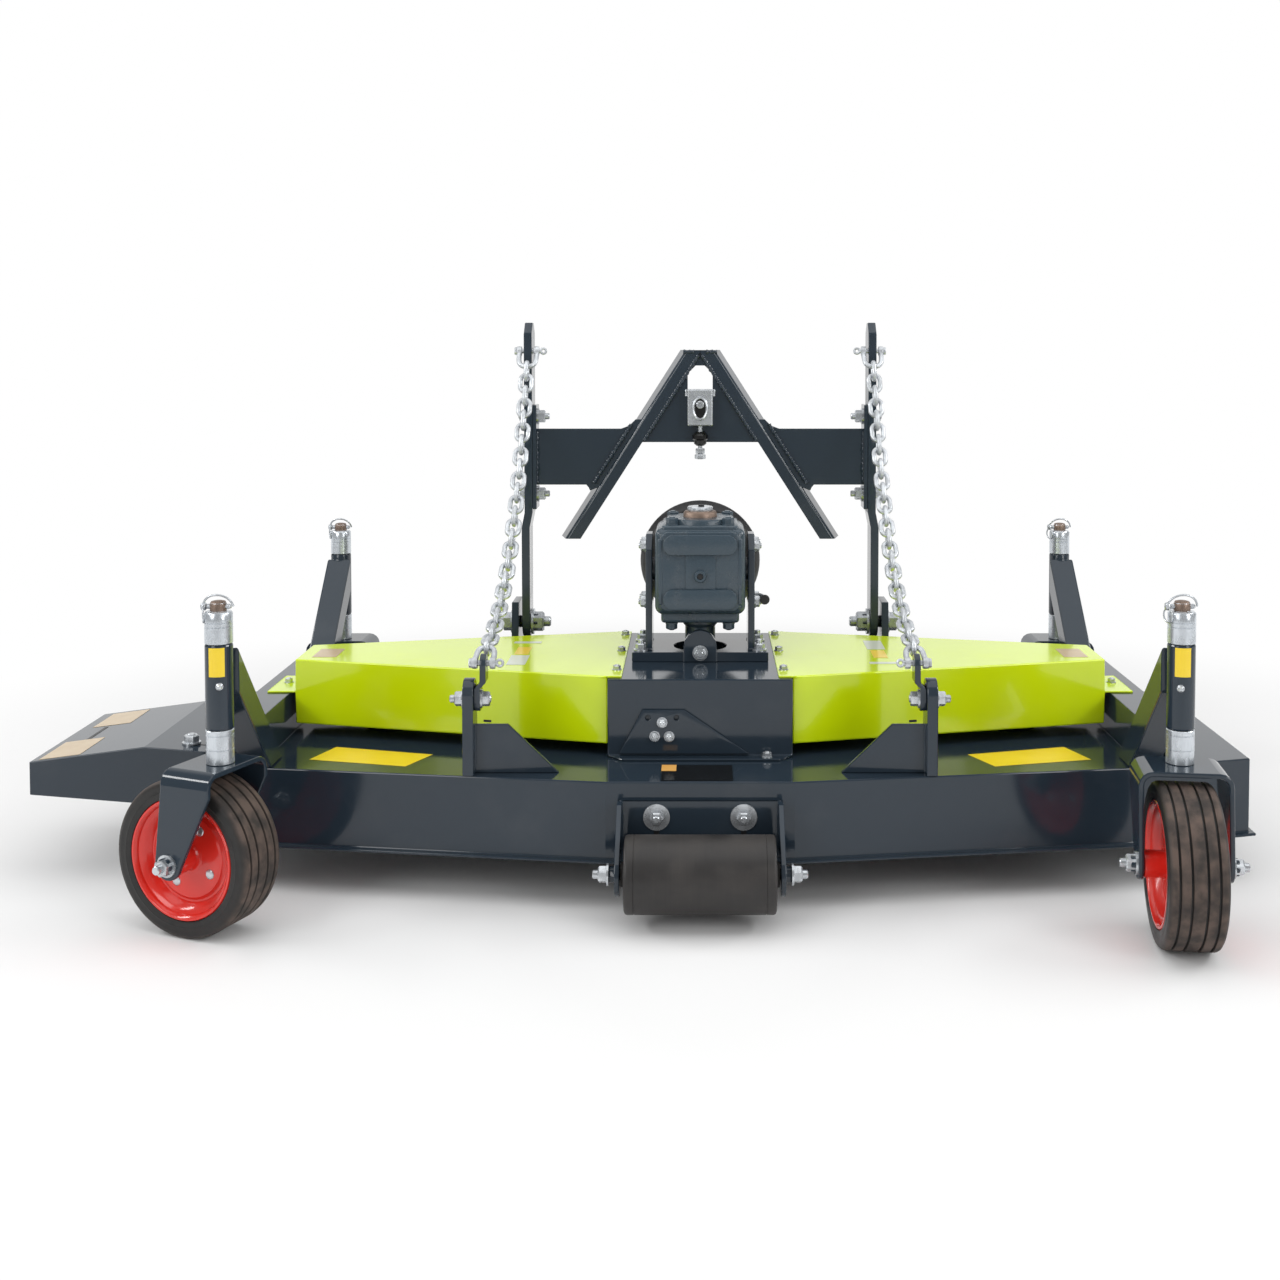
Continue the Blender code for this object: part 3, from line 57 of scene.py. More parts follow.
# Driving dimensions, as in the part
PTO_Y = 0.19
PTO_HEIGHT = 0.505
DECK_TOP = 0.208
GEARBOX_Y = -0.01
PIVOT_Y = 0.258
SIDES = (("left", -1), ("right", 1))
UP = (0, 0, 1)
DOWN = (0, 0, -1)
FRONT = (0, -1, 0)
BACK = (0, 1, 0)
OUT = (1, 0, 0)
IN = (-1, 0, 0)


def at(x, y, height):
    """A place in the frame from one laid out from the deck's middle at ground level."""
    return Vector((x, y - PTO_Y, height - PTO_HEIGHT))


# Camera

CAMERA_PITCH = 2.5
camera_data = bpy.data.cameras.new("camera")
camera_data.lens = 42.2
camera_data.sensor_width = 36.0
camera_data.shift_x = -0.047
camera_data.shift_y = -0.187
camera = bpy.data.objects.new("camera", camera_data)
camera.location = at(0.0, -2.775, 0.937)
camera.rotation_euler = (math.radians(90 - CAMERA_PITCH), 0, 0)
bpy.context.scene.collection.objects.link(camera)
bpy.context.scene.camera = camera


# Node trees

class Wire:
    """An output in a node tree. Sums and products of wires add Math nodes."""

    def __init__(self, tree, socket):
        self.tree = tree
        self.socket = socket

    def math(self, operation, first, second):
        return self.tree.node("ShaderNodeMath", {0: first, 1: second}, operation=operation)

    def __add__(self, other):
        return self.math("ADD", self, other)

    def __radd__(self, other):
        return self.math("ADD", other, self)

    def __mul__(self, other):
        return self.math("MULTIPLY", self, other)

    def __rmul__(self, other):
        return self.math("MULTIPLY", other, self)

    def or_more(self, other):
        return self.math("MAXIMUM", self, other)


class Tree:
    """A node tree whose nodes are joined by handing wires to their inputs."""

    def __init__(self, tree):
        self.tree = tree

    def node(self, kind, inputs=None, output=0, **settings):
        made = self.tree.nodes.new(kind)
        for key, value in settings.items():
            setattr(made, key, value)
        for key, value in (inputs or {}).items():
            if isinstance(value, Wire):
                self.tree.links.new(value.socket, made.inputs[key])
            else:
                made.inputs[key].default_value = value
        return Wire(self, made.outputs[output])

    def between(self, value, low, high):
        """0 below low, 1 above high, and smooth between them."""
        return self.node("ShaderNodeMapRange", {"Value": value, "From Min": low, "From Max": high},
                         interpolation_type="SMOOTHSTEP")

    def ray(self, kind):
        return self.node("ShaderNodeLightPath", output=f"Is {kind} Ray")


# Finishes

class Finish(Tree):
    """A material built round one Principled shader."""

    def __init__(self, name, colour=(0.5, 0.5, 0.5), **constants):
        self.material = bpy.data.materials.new(name)
        self.material.use_nodes = True
        super().__init__(self.material.node_tree)
        self.shader = self.tree.nodes["Principled BSDF"]
        self.shader.inputs["Base Color"].default_value = (*colour, 1.0)
        for label, value in constants.items():
            self.shader.inputs[label.replace("_", " ")].default_value = value

    def noise(self, scale, detail=2.0, stretch=(1.0, 1.0, 1.0)):
        spot = self.node("ShaderNodeTexCoord", output="Object")
        place = self.node("ShaderNodeMapping", {"Vector": spot, "Scale": stretch})
        return self.node("ShaderNodeTexNoise", {"Vector": place, "Scale": scale, "Detail": detail})

    def mix(self, share, first, second):
        first, second = [(*colour, 1.0) if isinstance(colour, tuple) else colour
                         for colour in (first, second)]
        return self.node("ShaderNodeMix", {0: share, 6: first, 7: second}, 2, data_type="RGBA")

    def dressed(self, colour, roughness, height, strength, distance):
        """The material, with its colour, roughness and bumps fed by wires."""
        bump = self.node("ShaderNodeBump", {"Height": height, "Strength": strength, "Distance": distance})
        for label, wire in (("Base Color", colour), ("Roughness", roughness), ("Normal", bump)):
            if wire:
                self.tree.links.new(wire.socket, self.shader.inputs[label])
        return self.material


def gloss_paint(name, colour, dusty, roughness, peel, coat):
    """Sprayed paint: a little orange peel, patches that are less glossy, and thin dust on some of it."""
    made = Finish(name, colour, Coat_Weight=coat, Coat_Roughness=0.03)
    dust = made.between(made.noise(9.0, 6.0), 0.5, 0.8)
    return made.dressed(made.mix(dust * 0.16, colour, dusty),
                        roughness + dust * 0.12 + made.noise(26.0, 3.0) * 0.05,
                        made.noise(420.0) + made.noise(60.0) * 0.6, peel, 0.001)


def cast_paint(name, colour, dusty):
    """The same paint over a sand casting."""
    made = Finish(name, colour)
    dust = made.between(made.noise(30.0, 5.0), 0.5, 0.75)
    return made.dressed(made.mix(dust * 0.22, colour, dusty), 0.22 + dust * 0.08,
                        made.noise(330.0, 4.0) + made.noise(90.0, 3.0), 0.35, 0.0012)


def plated(name, colour, roughness=0.18, streak=(1.0, 1.0, 1.0), dull=0.72):
    """Zinc plating: a cloudy sheen with dull patches."""
    made = Finish(name, colour, Metallic=0.72)
    cloud = made.between(made.noise(70.0, 4.0, streak), 0.35, 0.7)
    return made.dressed(made.mix(cloud, colour, tuple(value * dull for value in colour)),
                        roughness + cloud * 0.14, made.noise(700.0, 2.0, streak), 0.12, 0.0006)


def tyre_rubber(name):
    """Black sidewalls, brown worn ribs and dark grooves, told apart by the mesh's own attribute."""
    made = Finish(name, Specular_IOR_Level=0.35)
    worn = made.node("ShaderNodeAttribute", output="Fac", attribute_name="worn")
    patch = made.between(made.noise(38.0, 5.0), 0.3, 0.7)
    rib = made.mix(patch, (0.105, 0.074, 0.06), (0.036, 0.03, 0.027))
    side = made.mix(made.noise(60.0, 3.0), (0.012, 0.012, 0.012), (0.026, 0.025, 0.024))
    return made.dressed(made.mix(worn, side, rib), 0.34 + worn * 0.34 + patch * 0.08,
                        made.noise(260.0, 5.0) + worn * made.noise(900.0, 3.0) * 0.6, 0.22, 0.0012)


def roller_rubber(name, dark, rubbed):
    """Smooth rubber with rings from moulding and rubbed patches."""
    made = Finish(name, Specular_IOR_Level=0.4)
    rings = made.noise(60.0, 4.0, (6.0, 0.25, 0.25))
    patch = made.between(made.noise(16.0, 5.0), 0.35, 0.72)
    return made.dressed(made.mix(patch * 0.6 + rings * 0.3, dark, rubbed), 0.4 + patch * 0.16,
                        rings + made.noise(500.0, 3.0) * 0.4, 0.15, 0.001)


def moulded_plastic_and_painted_shade(name, colour):
    made = Finish(name, colour)
    return made.dressed(None, 0.3 + made.noise(40.0, 3.0) * 0.25, made.noise(800.0), 0.2, 0.0006)


def sticker_film(name, colour, faded, roughness=0.26, coat=0.4):
    made = Finish(name, colour, Coat_Weight=coat, Coat_Roughness=0.1)
    return made.dressed(made.mix(made.noise(24.0, 4.0), colour, faded), roughness + made.noise(90.0) * 0.12,
                        made.noise(300.0), 0.04, 0.0004)


PAINT = gloss_paint("anthracite_paint", (0.019, 0.03, 0.043), (0.08, 0.088, 0.096), 0.07, 0.025, 0.0)
LIME = gloss_paint("lime_paint", (0.6, 0.76, 0.001), (0.64, 0.76, 0.06), 0.14, 0.025, 0.4)
RIM_RED = gloss_paint("rim_red_paint", (0.66, 0.024, 0.015), (0.64, 0.07, 0.05), 0.16, 0.05, 0.3)
CAST = cast_paint("cast_paint", (0.042, 0.064, 0.083), (0.095, 0.105, 0.115))
ZINC = plated("zinc", (0.6, 0.63, 0.66))
CHAIN_ZINC = plated("chain_zinc", (0.66, 0.69, 0.72), 0.34)
COLLAR_ZINC = plated("collar_zinc", (0.62, 0.66, 0.7), 0.2, (1.0, 1.0, 0.4), 0.86)
BARE_STEEL = plated("bare_steel", (0.5, 0.48, 0.45), 0.32)
BROWN_STEEL = plated("brown_steel", (0.26, 0.19, 0.15), 0.42)
TYRE = tyre_rubber("tyre_rubber")
ROLLER = roller_rubber("roller_rubber", (0.02, 0.019, 0.019), (0.046, 0.041, 0.038))
# black moulded plastic, also used to paint the shade in slots and in the gearbox plug's socket
PLASTIC_AND_SHADE = moulded_plastic_and_painted_shade("moulded_plastic_and_painted_shade", (0.01, 0.01, 0.011))
YELLOW = sticker_film("yellow_sticker", (0.8, 0.56, 0.006), (0.88, 0.64, 0.03))
ORANGE = sticker_film("orange_sticker", (0.78, 0.36, 0.06), (0.82, 0.48, 0.14))
FADED = sticker_film("faded_sticker", (0.4, 0.27, 0.12), (0.55, 0.42, 0.24))
WHITE = sticker_film("white_sticker", (0.62, 0.65, 0.6), (0.52, 0.58, 0.4))
# black finish of the plate, and also of the lock's oval slot, where it is painted shade
BLACK_PLATE_AND_SLOT_SHADE = sticker_film("black_plate", (0.004, 0.004, 0.004), (0.008, 0.008, 0.008), 0.08, 0.0)

FINISH_OF_SLOT = {
    "deck_paint": PAINT, "cover_paint": LIME, "zinc": ZINC, "rim_red": RIM_RED, "tyre_rubber": TYRE,
    "roller_rubber": ROLLER, "gearbox_paint": CAST, "black_plastic": PLASTIC_AND_SHADE, "bare_steel": BARE_STEEL,
}


# Shapes

BROAD_FACE = 0.014
SHALLOW_FOLD = math.radians(2)


def shade(mesh, smooth_angle, crisp):
    """Smooth shading that keeps sharp edges and, where crisp, flat broad faces up to their round edges."""
    bm = bmesh.new()
    bm.from_mesh(mesh)
    limit = math.radians(smooth_angle)
    for face in bm.faces:
        face.smooth = True
    for edge in bm.edges:
        if len(edge.link_faces) != 2:
            edge.smooth = False
            continue
        angle = edge.calc_face_angle(0.0)
        breadth = max(face.calc_area() for face in edge.link_faces) / max(edge.calc_length(), 0.0001)
        edge.smooth = angle <= limit and not (crisp and angle > SHALLOW_FOLD and breadth > BROAD_FACE)
    bm.to_mesh(mesh)
    bm.free()


def finished(name, mesh, material, body, smooth_angle=35, crisp=True, node=None):
    """A piece at the origin, its place in its mesh, riding on a body and standing for a node where given."""
    mesh.name = name
    made = bpy.data.objects.new(name, mesh)
    bpy.context.scene.collection.objects.link(made)
    mesh.materials.clear()
    mesh.materials.append(material)
    shade(mesh, smooth_angle, crisp)
    if body:
        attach(made, body)
    if node:
        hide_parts(node)
    return made


def mesh_of(bm):
    mesh = bpy.data.meshes.new("shape")
    bm.to_mesh(mesh)
    bm.free()
    return mesh


def real_mesh(data, kind=None, **settings):
    """The mesh of a curve's or mesh's data, after a modifier of the given kind."""
    spare = bpy.data.objects.new("spare", data)
    bpy.context.scene.collection.objects.link(spare)
    if kind:
        modifier = spare.modifiers.new(kind, kind)
        for key, value in settings.items():
            if hasattr(modifier, key):
                setattr(modifier, key, value)
            else:
                modifier[key] = value
    graph = bpy.context.evaluated_depsgraph_get()
    mesh = bpy.data.meshes.new_from_object(spare.evaluated_get(graph))
    bpy.data.objects.remove(spare, do_unlink=True)
    return mesh


def soft(mesh, width, segments=2, **settings):
    """A mesh with its folded and cut edges rounded."""
    return real_mesh(mesh, "BEVEL", width=width, segments=segments, limit_method="ANGLE",
                     angle_limit=math.radians(35), **settings)


def rounded(node, width):
    """Stands for a CAD node with its edges rounded, its triangles first joined into flat faces."""
    bm = bmesh.new()
    bm.from_mesh(frame["nodes"][node].data)
    bmesh.ops.remove_doubles(bm, verts=bm.verts, dist=0.00001)
    bmesh.ops.dissolve_limit(bm, angle_limit=math.radians(1), verts=bm.verts, edges=bm.edges)
    mesh = soft(mesh_of(bm), width, harden_normals=False, use_clamp_overlap=False, miter_outer="MITER_ARC")
    finished(f"{node}_rounded", mesh, FINISH_OF_SLOT[SLOT_OF[node]], BODY_OF[node], node=node)


def spun(profile, steps):
    """(radius, along) points turned round X: a ring where they start off the axis. A third value is wear."""
    bm = bmesh.new()
    layer = bm.verts.layers.float.new("worn") if len(profile[0]) == 3 else None
    rows = []
    for step in range(steps):
        turn = 2 * math.pi * step / steps
        row = [bm.verts.new((along, radius * math.cos(turn), radius * math.sin(turn)))
               for radius, along, *_ in profile]
        if layer is not None:
            for vert, point in zip(row, profile):
                vert[layer] = point[2]
        rows.append(row)
    pairs = [(index, index + 1) for index in range(len(profile) - 1)]
    if profile[0][0] > 0:
        pairs.append((len(profile) - 1, 0))
    for row, following in zip(rows, rows[1:] + rows[:1]):
        for first, second in pairs:
            bm.faces.new((row[first], row[second], following[second], following[first]))
    bmesh.ops.remove_doubles(bm, verts=bm.verts, dist=0.00002)
    bmesh.ops.recalc_face_normals(bm, faces=bm.faces)
    return mesh_of(bm)


def far_side(profile):
    """The same profile on the other side of the middle, in the order that goes on from it."""
    return [(radius, -along, *wear) for radius, along, *wear in reversed(profile)]


def turned(profile, steps, place, way=OUT):
    """A spun shape moved to a place, with its axis the given way."""
    along = Vector(way).normalized()
    up = Vector(FRONT if abs(along.z) > 0.9 else UP)
    up = (up - along * up.dot(along)).normalized()
    mesh = spun(profile, steps)
    mesh.transform(Matrix.Translation(place) @ Matrix((along, up.cross(along), up)).transposed().to_4x4())
    return mesh


def joined(*meshes):
    bm = bmesh.new()
    for mesh in meshes:
        bm.from_mesh(mesh)
    return mesh_of(bm)


def circle(middle, first, second, turns=8):
    """Points round a middle, from one half axis to the other."""
    angles = [2 * math.pi * index / turns for index in range(turns)]
    return [middle + first * math.cos(angle) + second * math.sin(angle) for angle in angles]


def curve_of(kind, *lines):
    """A curve's data with a spline through each line of points."""
    curve = bpy.data.curves.new("lines", "CURVE")
    curve.dimensions = "3D"
    for points in lines:
        spline = curve.splines.new(kind)
        spline.points.add(len(points) - 1)
        for point, place in zip(spline.points, points):
            point.co = (*place, 1.0)
    return curve


def tube(points, radius, closed=False):
    """A round wire or pipe along smooth points."""
    curve = curve_of("NURBS", points)
    curve.bevel_depth = radius
    curve.bevel_resolution = 3
    curve.use_fill_caps = not closed
    spline = curve.splines[0]
    spline.use_cyclic_u = closed
    spline.use_endpoint_u = not closed
    spline.order_u = 4
    bm = bmesh.new()
    bm.from_mesh(real_mesh(curve))
    bmesh.ops.remove_doubles(bm, verts=bm.verts, dist=0.00001)
    bmesh.ops.recalc_face_normals(bm, faces=bm.faces)
    return mesh_of(bm)


def loft(rings):
    """Faces between rings of places that have the same number of points, with both ends closed."""
    bm = bmesh.new()
    rows = [[bm.verts.new(place) for place in ring] for ring in rings]
    count = len(rows[0])
    for row, following in zip(rows, rows[1:]):
        for index in range(count):
            after = (index + 1) % count
            bm.faces.new((row[index], row[after], following[after], following[index]))
    bm.faces.new(rows[0])
    bm.faces.new(rows[-1])
    bmesh.ops.recalc_face_normals(bm, faces=bm.faces)
    return mesh_of(bm)


def block(low, high, width=0.0012, segments=2):
    """A box between two laid-out places, with its edges rounded."""
    low, high = at(*low), at(*high)
    bm = bmesh.new()
    bmesh.ops.create_cube(bm, size=1.0)
    bmesh.ops.scale(bm, vec=high - low, verts=bm.verts)
    bmesh.ops.translate(bm, vec=(high + low) / 2, verts=bm.verts)
    return soft(mesh_of(bm), width, segments)


def upright_plate(outline, front_y, back_y, width):
    """A plate across the machine from an outline of (x, height) points, with its edges rounded."""
    return soft(loft([[at(x, y, height) for x, height in outline] for y in (front_y, back_y)]), width)


def soft_outline(half, low, high, radius):
    """A rectangle of (x, height) points about the middle, with round corners."""
    points = []
    for x, height, first in ((half - radius, low + radius, -90), (half - radius, high - radius, 0),
                             (radius - half, high - radius, 90), (radius - half, low + radius, 180)):
        for step in range(7):
            turn = math.radians(first + 15 * step)
            points.append((x + radius * math.cos(turn), height + radius * math.sin(turn)))
    return points


# Geometry Nodes recipes

class Recipe(Tree):
    """A Geometry Nodes tree that grows pieces on a base mesh or curve, with named sizes."""

    def __init__(self, name, *sizes):
        super().__init__(bpy.data.node_groups.new(name, "GeometryNodeTree"))
        new_socket = self.tree.interface.new_socket
        kinds = {"Geometry": "Geometry", **dict.fromkeys(sizes, "Float"), "Finish": "Material"}
        self.identifiers = {}
        for label, kind in kinds.items():
            socket = new_socket(label, in_out="INPUT", socket_type=f"NodeSocket{kind}")
            self.identifiers[label] = socket.identifier
        new_socket("Geometry", in_out="OUTPUT", socket_type="NodeSocketGeometry")
        self.entry = self.tree.nodes.new("NodeGroupInput")

    def given(self, label):
        return Wire(self, self.entry.outputs[label])

    def stored(self, name, kind):
        return self.node("GeometryNodeInputNamedAttribute", {"Name": name}, data_type=kind)

    def lifted(self, shape, height):
        shift = self.node("ShaderNodeCombineXYZ", {"Z": height})
        return self.node("GeometryNodeTransform", {"Geometry": shape, "Translation": shift})

    def joined(self, *shapes):
        made = self.tree.nodes.new("GeometryNodeJoinGeometry")
        for shape in shapes:
            self.tree.links.new(shape.socket, made.inputs[0])
        return Wire(self, made.outputs[0])

    def on_points(self, shape, turn, **more):
        """A shape on every point of the base, turned and, where it is given, scaled."""
        points = self.node("GeometryNodeMeshToPoints", {"Mesh": self.given("Geometry")})
        return self.node("GeometryNodeInstanceOnPoints",
                         {"Points": points, "Instance": shape, "Rotation": turn, **more})

    def on_spots(self, shape):
        """A shape of unit size on every point, turned to face its own way and scaled by its own size."""
        aim = self.stored("aim", "FLOAT_VECTOR")
        turn = self.node("FunctionNodeAlignRotationToVector", {"Vector": aim}, axis="Z")
        return self.on_points(shape, turn, Scale=self.stored("size", "FLOAT"))

    def ends_with(self, shape):
        real = self.node("GeometryNodeRealizeInstances", {"Geometry": shape})
        dressed = self.node("GeometryNodeSetMaterial", {"Geometry": real, "Material": self.given("Finish")})
        self.tree.links.new(dressed.socket, self.tree.nodes.new("NodeGroupOutput").inputs[0])
        return self

    def grow(self, base, material, **sizes):
        """The plain mesh that the recipe makes on a base mesh or curve."""
        sizes["Finish"] = material
        values = {self.identifiers[label]: value for label, value in sizes.items()}
        return real_mesh(base, "NODES", node_group=self.tree, **values)


def spots(rows):
    """A mesh of points with the way each one faces and its size: rows of place, way, size."""
    mesh = bpy.data.meshes.new("spots")
    mesh.from_pydata([row[0] for row in rows], [], [])
    mesh.attributes.new("aim", "FLOAT_VECTOR", "POINT")
    mesh.attributes.new("size", "FLOAT", "POINT")
    mesh.attributes["aim"].data.foreach_set("vector", [number for row in rows for number in row[1]])
    mesh.attributes["size"].data.foreach_set("value", [row[2] for row in rows])
    return mesh


def fastener_recipe():
    """A washer, a hexagon with its top corners cut and a stud's end; the unit is the hexagon's own radius."""
    made = Recipe("fastener", "Washer", "Head", "Stud")
    head, stud = made.given("Head"), made.given("Stud")
    washer_depth, crown_depth, tip_depth = 0.24, 0.16, 0.12

    def prism(vertices, radius, depth):
        return made.node("GeometryNodeMeshCylinder", {"Vertices": vertices, "Radius": radius, "Depth": depth})

    def taper(vertices, bottom, top, depth):
        return made.node("GeometryNodeMeshCone",
                         {"Vertices": vertices, "Radius Top": top, "Radius Bottom": bottom, "Depth": depth})

    head_top = head + washer_depth
    stud_foot = head_top + crown_depth
    shape = made.joined(made.lifted(prism(28, made.given("Washer"), washer_depth), washer_depth / 2),
                        made.lifted(prism(6, 1.0, head), head * 0.5 + washer_depth),
                        made.lifted(taper(6, 1.0, 0.84, crown_depth), head_top),
                        made.lifted(prism(14, 0.52, stud), stud_foot + stud * 0.5),
                        made.lifted(taper(14, 0.52, 0.42, tip_depth), stud_foot + stud))
    return made.ends_with(made.on_spots(shape))


def dome_recipe():
    """A low round head."""
    made = Recipe("dome", "Rise")
    ball = made.node("GeometryNodeMeshUVSphere", {"Segments": 20, "Rings": 12, "Radius": 1.0})
    squash = made.node("ShaderNodeCombineXYZ", {"X": 1.0, "Y": 1.0, "Z": made.given("Rise")})
    low = made.node("GeometryNodeTransform", {"Geometry": ball, "Scale": squash})
    return made.ends_with(made.on_spots(low))


def weld_recipe():
    """A weld bead: a tube along a line whose size ripples and wanders."""
    made = Recipe("weld", "Radius", "Step", "Ripple")
    path = made.node("GeometryNodeResampleCurve",
                     {"Curve": made.given("Geometry"), "Length": made.given("Step")}, mode="LENGTH")
    wave = made.node("ShaderNodeMath", {0: made.node("GeometryNodeInputIndex") * 1.9}, operation="SINE")
    wander = made.node("ShaderNodeTexNoise", {"Scale": 70.0, "Detail": 2.0})
    swell = wave * made.given("Ripple") + wander * 0.9 + 0.55
    section = made.node("GeometryNodeCurvePrimitiveCircle", {"Resolution": 8, "Radius": made.given("Radius")})
    bead = made.node("GeometryNodeCurveToMesh",
                     {"Curve": path, "Profile Curve": section, "Scale": swell, "Fill Caps": True})
    return made.ends_with(made.node("GeometryNodeSetShadeSmooth", {"Geometry": bead}))


def chain_recipe():
    """Round-wire links on a row of points, every second one turned a quarter round the way the chain runs."""
    made = Recipe("chain", "Wire", "Wide", "Long")
    wide = made.given("Wide")
    outline = made.node("GeometryNodeCurvePrimitiveQuadrilateral",
                        {"Width": wide, "Height": made.given("Long")}, mode="RECTANGLE")
    bent = made.node("GeometryNodeFilletCurve", {"Curve": outline, "Count": 7, "Radius": wide * 0.495},
                     mode="POLY")
    section = made.node("GeometryNodeCurvePrimitiveCircle", {"Resolution": 10, "Radius": made.given("Wire")})
    link = made.node("GeometryNodeCurveToMesh", {"Curve": bent, "Profile Curve": section})
    aim = made.stored("aim", "FLOAT_VECTOR")
    along = made.node("FunctionNodeAlignRotationToVector", {"Vector": aim}, axis="Y")
    square = made.node("FunctionNodeAlignRotationToVector", {"Rotation": along, "Vector": OUT},
                       axis="X", pivot_axis="Y")
    index = made.node("GeometryNodeInputIndex")
    even = made.node("ShaderNodeMath", {0: index + 1.0, 1: 2.0}, operation="MODULO")
    quarter = made.node("ShaderNodeCombineXYZ", {"Y": even * (math.pi / 2)})
    roll = made.node("FunctionNodeEulerToRotation", {"Euler": quarter})
    turn = made.node("FunctionNodeRotateRotation", {"Rotation": square, "Rotate By": roll},
                     rotation_space="LOCAL")
    return made.ends_with(made.on_points(link, turn))


FASTENER = fastener_recipe()
DOME = dome_recipe()
WELD = weld_recipe()
CHAIN = chain_recipe()


# Nodes whose own shape is right, with their edges rounded

ONE = ("",)
BOTH = ("_left", "_right")
THREE = ("_left", "_centre", "_right")
CORNERS = ("_front_left", "_front_right", "_rear_left", "_rear_right")
# first word of the node, its ends, width of the rounded edge
ROUNDED = (
    ("deck_shell", ONE, 0.0022), ("centre_box", ONE, 0.002), ("belt_cover", BOTH, 0.0022),
    ("side_rail", BOTH, 0.0015), ("gearbox_stand", ONE, 0.0012), ("tensioner_lever", ONE, 0.0012),
    ("roller_bracket", ONE, 0.0012), ("spindle_housing", THREE, 0.001), ("blade", THREE, 0.0008),
    ("chain_lug", BOTH, 0.0015), ("link_plate", BOTH, 0.0012), ("hitch_lug", BOTH, 0.0015),
    ("upright", BOTH, 0.0018), ("arm", CORNERS, 0.003), ("caster_fork", CORNERS, 0.0018),
)
for stem, ends, width in ROUNDED:
    for end in ends:
        rounded(stem + end, width)


# Chains with their shackles

TOP_PIN = at(0.345, PIVOT_Y - 0.02, 0.905)
LOW_PIN = at(0.36, -0.3, 0.392)
CHAIN_TOP = TOP_PIN + Vector((0, -0.024, -0.027))
CHAIN_LOW = LOW_PIN + Vector((0, 0.034, 0.016))
CHAIN_BEND = at(0.3525, 0.055, 0.46)
LINKS = 27
LINK_WIRE = 0.009
LINK_WIDTH = 0.031
FINE_STEPS = 400


def chain_point(along):
    rest = 1 - along
    return CHAIN_TOP * rest ** 2 + CHAIN_BEND * (2 * rest * along) + CHAIN_LOW * along ** 2


def chain_stations():
    """Rows of link middle, way and scale, at even steps along the hanging curve, and the step."""
    fine = [chain_point(index / FINE_STEPS) for index in range(FINE_STEPS + 1)]
    lengths = [0.0]
    for first, second in zip(fine, fine[1:]):
        lengths.append(lengths[-1] + (second - first).length)
    step = lengths[-1] / LINKS
    rows = []
    index = 0
    for link in range(LINKS):
        middle = step * (link + 0.5)
        while lengths[index + 1] < middle:
            index += 1
        share = (middle - lengths[index]) / (lengths[index + 1] - lengths[index])
        rows.append((fine[index].lerp(fine[index + 1], share), fine[index + 1] - fine[index], 1.0))
    return rows, step


def shackle(pin, chain_end, half, pin_half):
    """A bow with flattened eyes round its cross pin, the pin's head and its ring end."""
    wire = 0.005
    wide = half + wire
    across = Vector(OUT)
    toward = (chain_end - pin).normalized()
    reach = (chain_end - pin).length + wire
    bends = ((-1, 0), (-1, 0.3), (-1, 0.75), (-0.55, 1), (0.55, 1), (1, 0.75), (1, 0.3), (1, 0))
    bow = tube([pin + across * (wide * side) + toward * (reach * share) for side, share in bends], wire)
    eye = ((0.0052, -0.0045), (0.0092, -0.0045), (0.0098, 0), (0.0092, 0.0045), (0.0052, 0.0045))
    eyes = [turned(eye, 20, pin + across * (side * wide)) for _, side in SIDES]
    rod = turned(((0, -pin_half), (0.0046, -pin_half), (0.005, 0), (0.0046, pin_half), (0, pin_half)),
                 16, pin)
    head = turned(((0, 0), (0.0074, 0), (0.008, 0.0015), (0.0074, 0.0045), (0, 0.0052)), 18,
                  pin + across * (wide + 0.005))
    ring_middle = pin - across * (pin_half + 0.0045)
    ring = tube(circle(ring_middle, across * 0.0058, Vector(UP) * 0.0058), 0.0024, closed=True)
    return joined(bow, *eyes, rod, head, ring)


def chains():
    rows, step = chain_stations()
    links = CHAIN.grow(spots(rows), CHAIN_ZINC, Wire=LINK_WIRE / 2, Wide=LINK_WIDTH - LINK_WIRE,
                       Long=step + LINK_WIRE)
    whole = joined(links, shackle(TOP_PIN, CHAIN_TOP, 0.0125, 0.026),
                   shackle(LOW_PIN, CHAIN_LOW, 0.01, 0.022))
    for side_name, side in SIDES:
        mesh = whole.copy()
        if side < 0:
            mesh.transform(Matrix.Scale(-1, 4, OUT))
            mesh.flip_normals()
        made = finished(f"chain_links_{side_name}", mesh, CHAIN_ZINC, None, 60,
                        node=f"chain_{side_name}")
        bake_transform(made)


chains()


# Casters

FORK_TOP = 0.271
FORK_HALF = 0.071
COLLAR_TOP = FORK_TOP + 0.054
TUBE_TOP = COLLAR_TOP + 0.134
STEM_TOP = TUBE_TOP + 0.065
COLLAR_RADIUS = 0.0215
PIN_RADIUS = 0.0125
TRAIL = 0.045
WHEEL_RADIUS = 0.125
HUB_HALF = 0.062
# name, post x, post y, swivel angle in degrees
CASTERS = (
    ("front_left", -0.748, -0.462, -112),
    ("front_right", 0.748, -0.462, -7),
    ("rear_left", -0.788, 0.5, 180),
    ("rear_right", 0.788, 0.5, 180),
)
GROOVES = (-0.0285, -0.0112, 0.0112, 0.0285)
GROOVE_HALF = 0.0017
GROOVE_DEPTH = 0.004


def swivel_of(post_x, post_y, angle):
    return Matrix.Translation(at(post_x, post_y, 0)) @ Matrix.Rotation(math.radians(angle), 4, "Z")


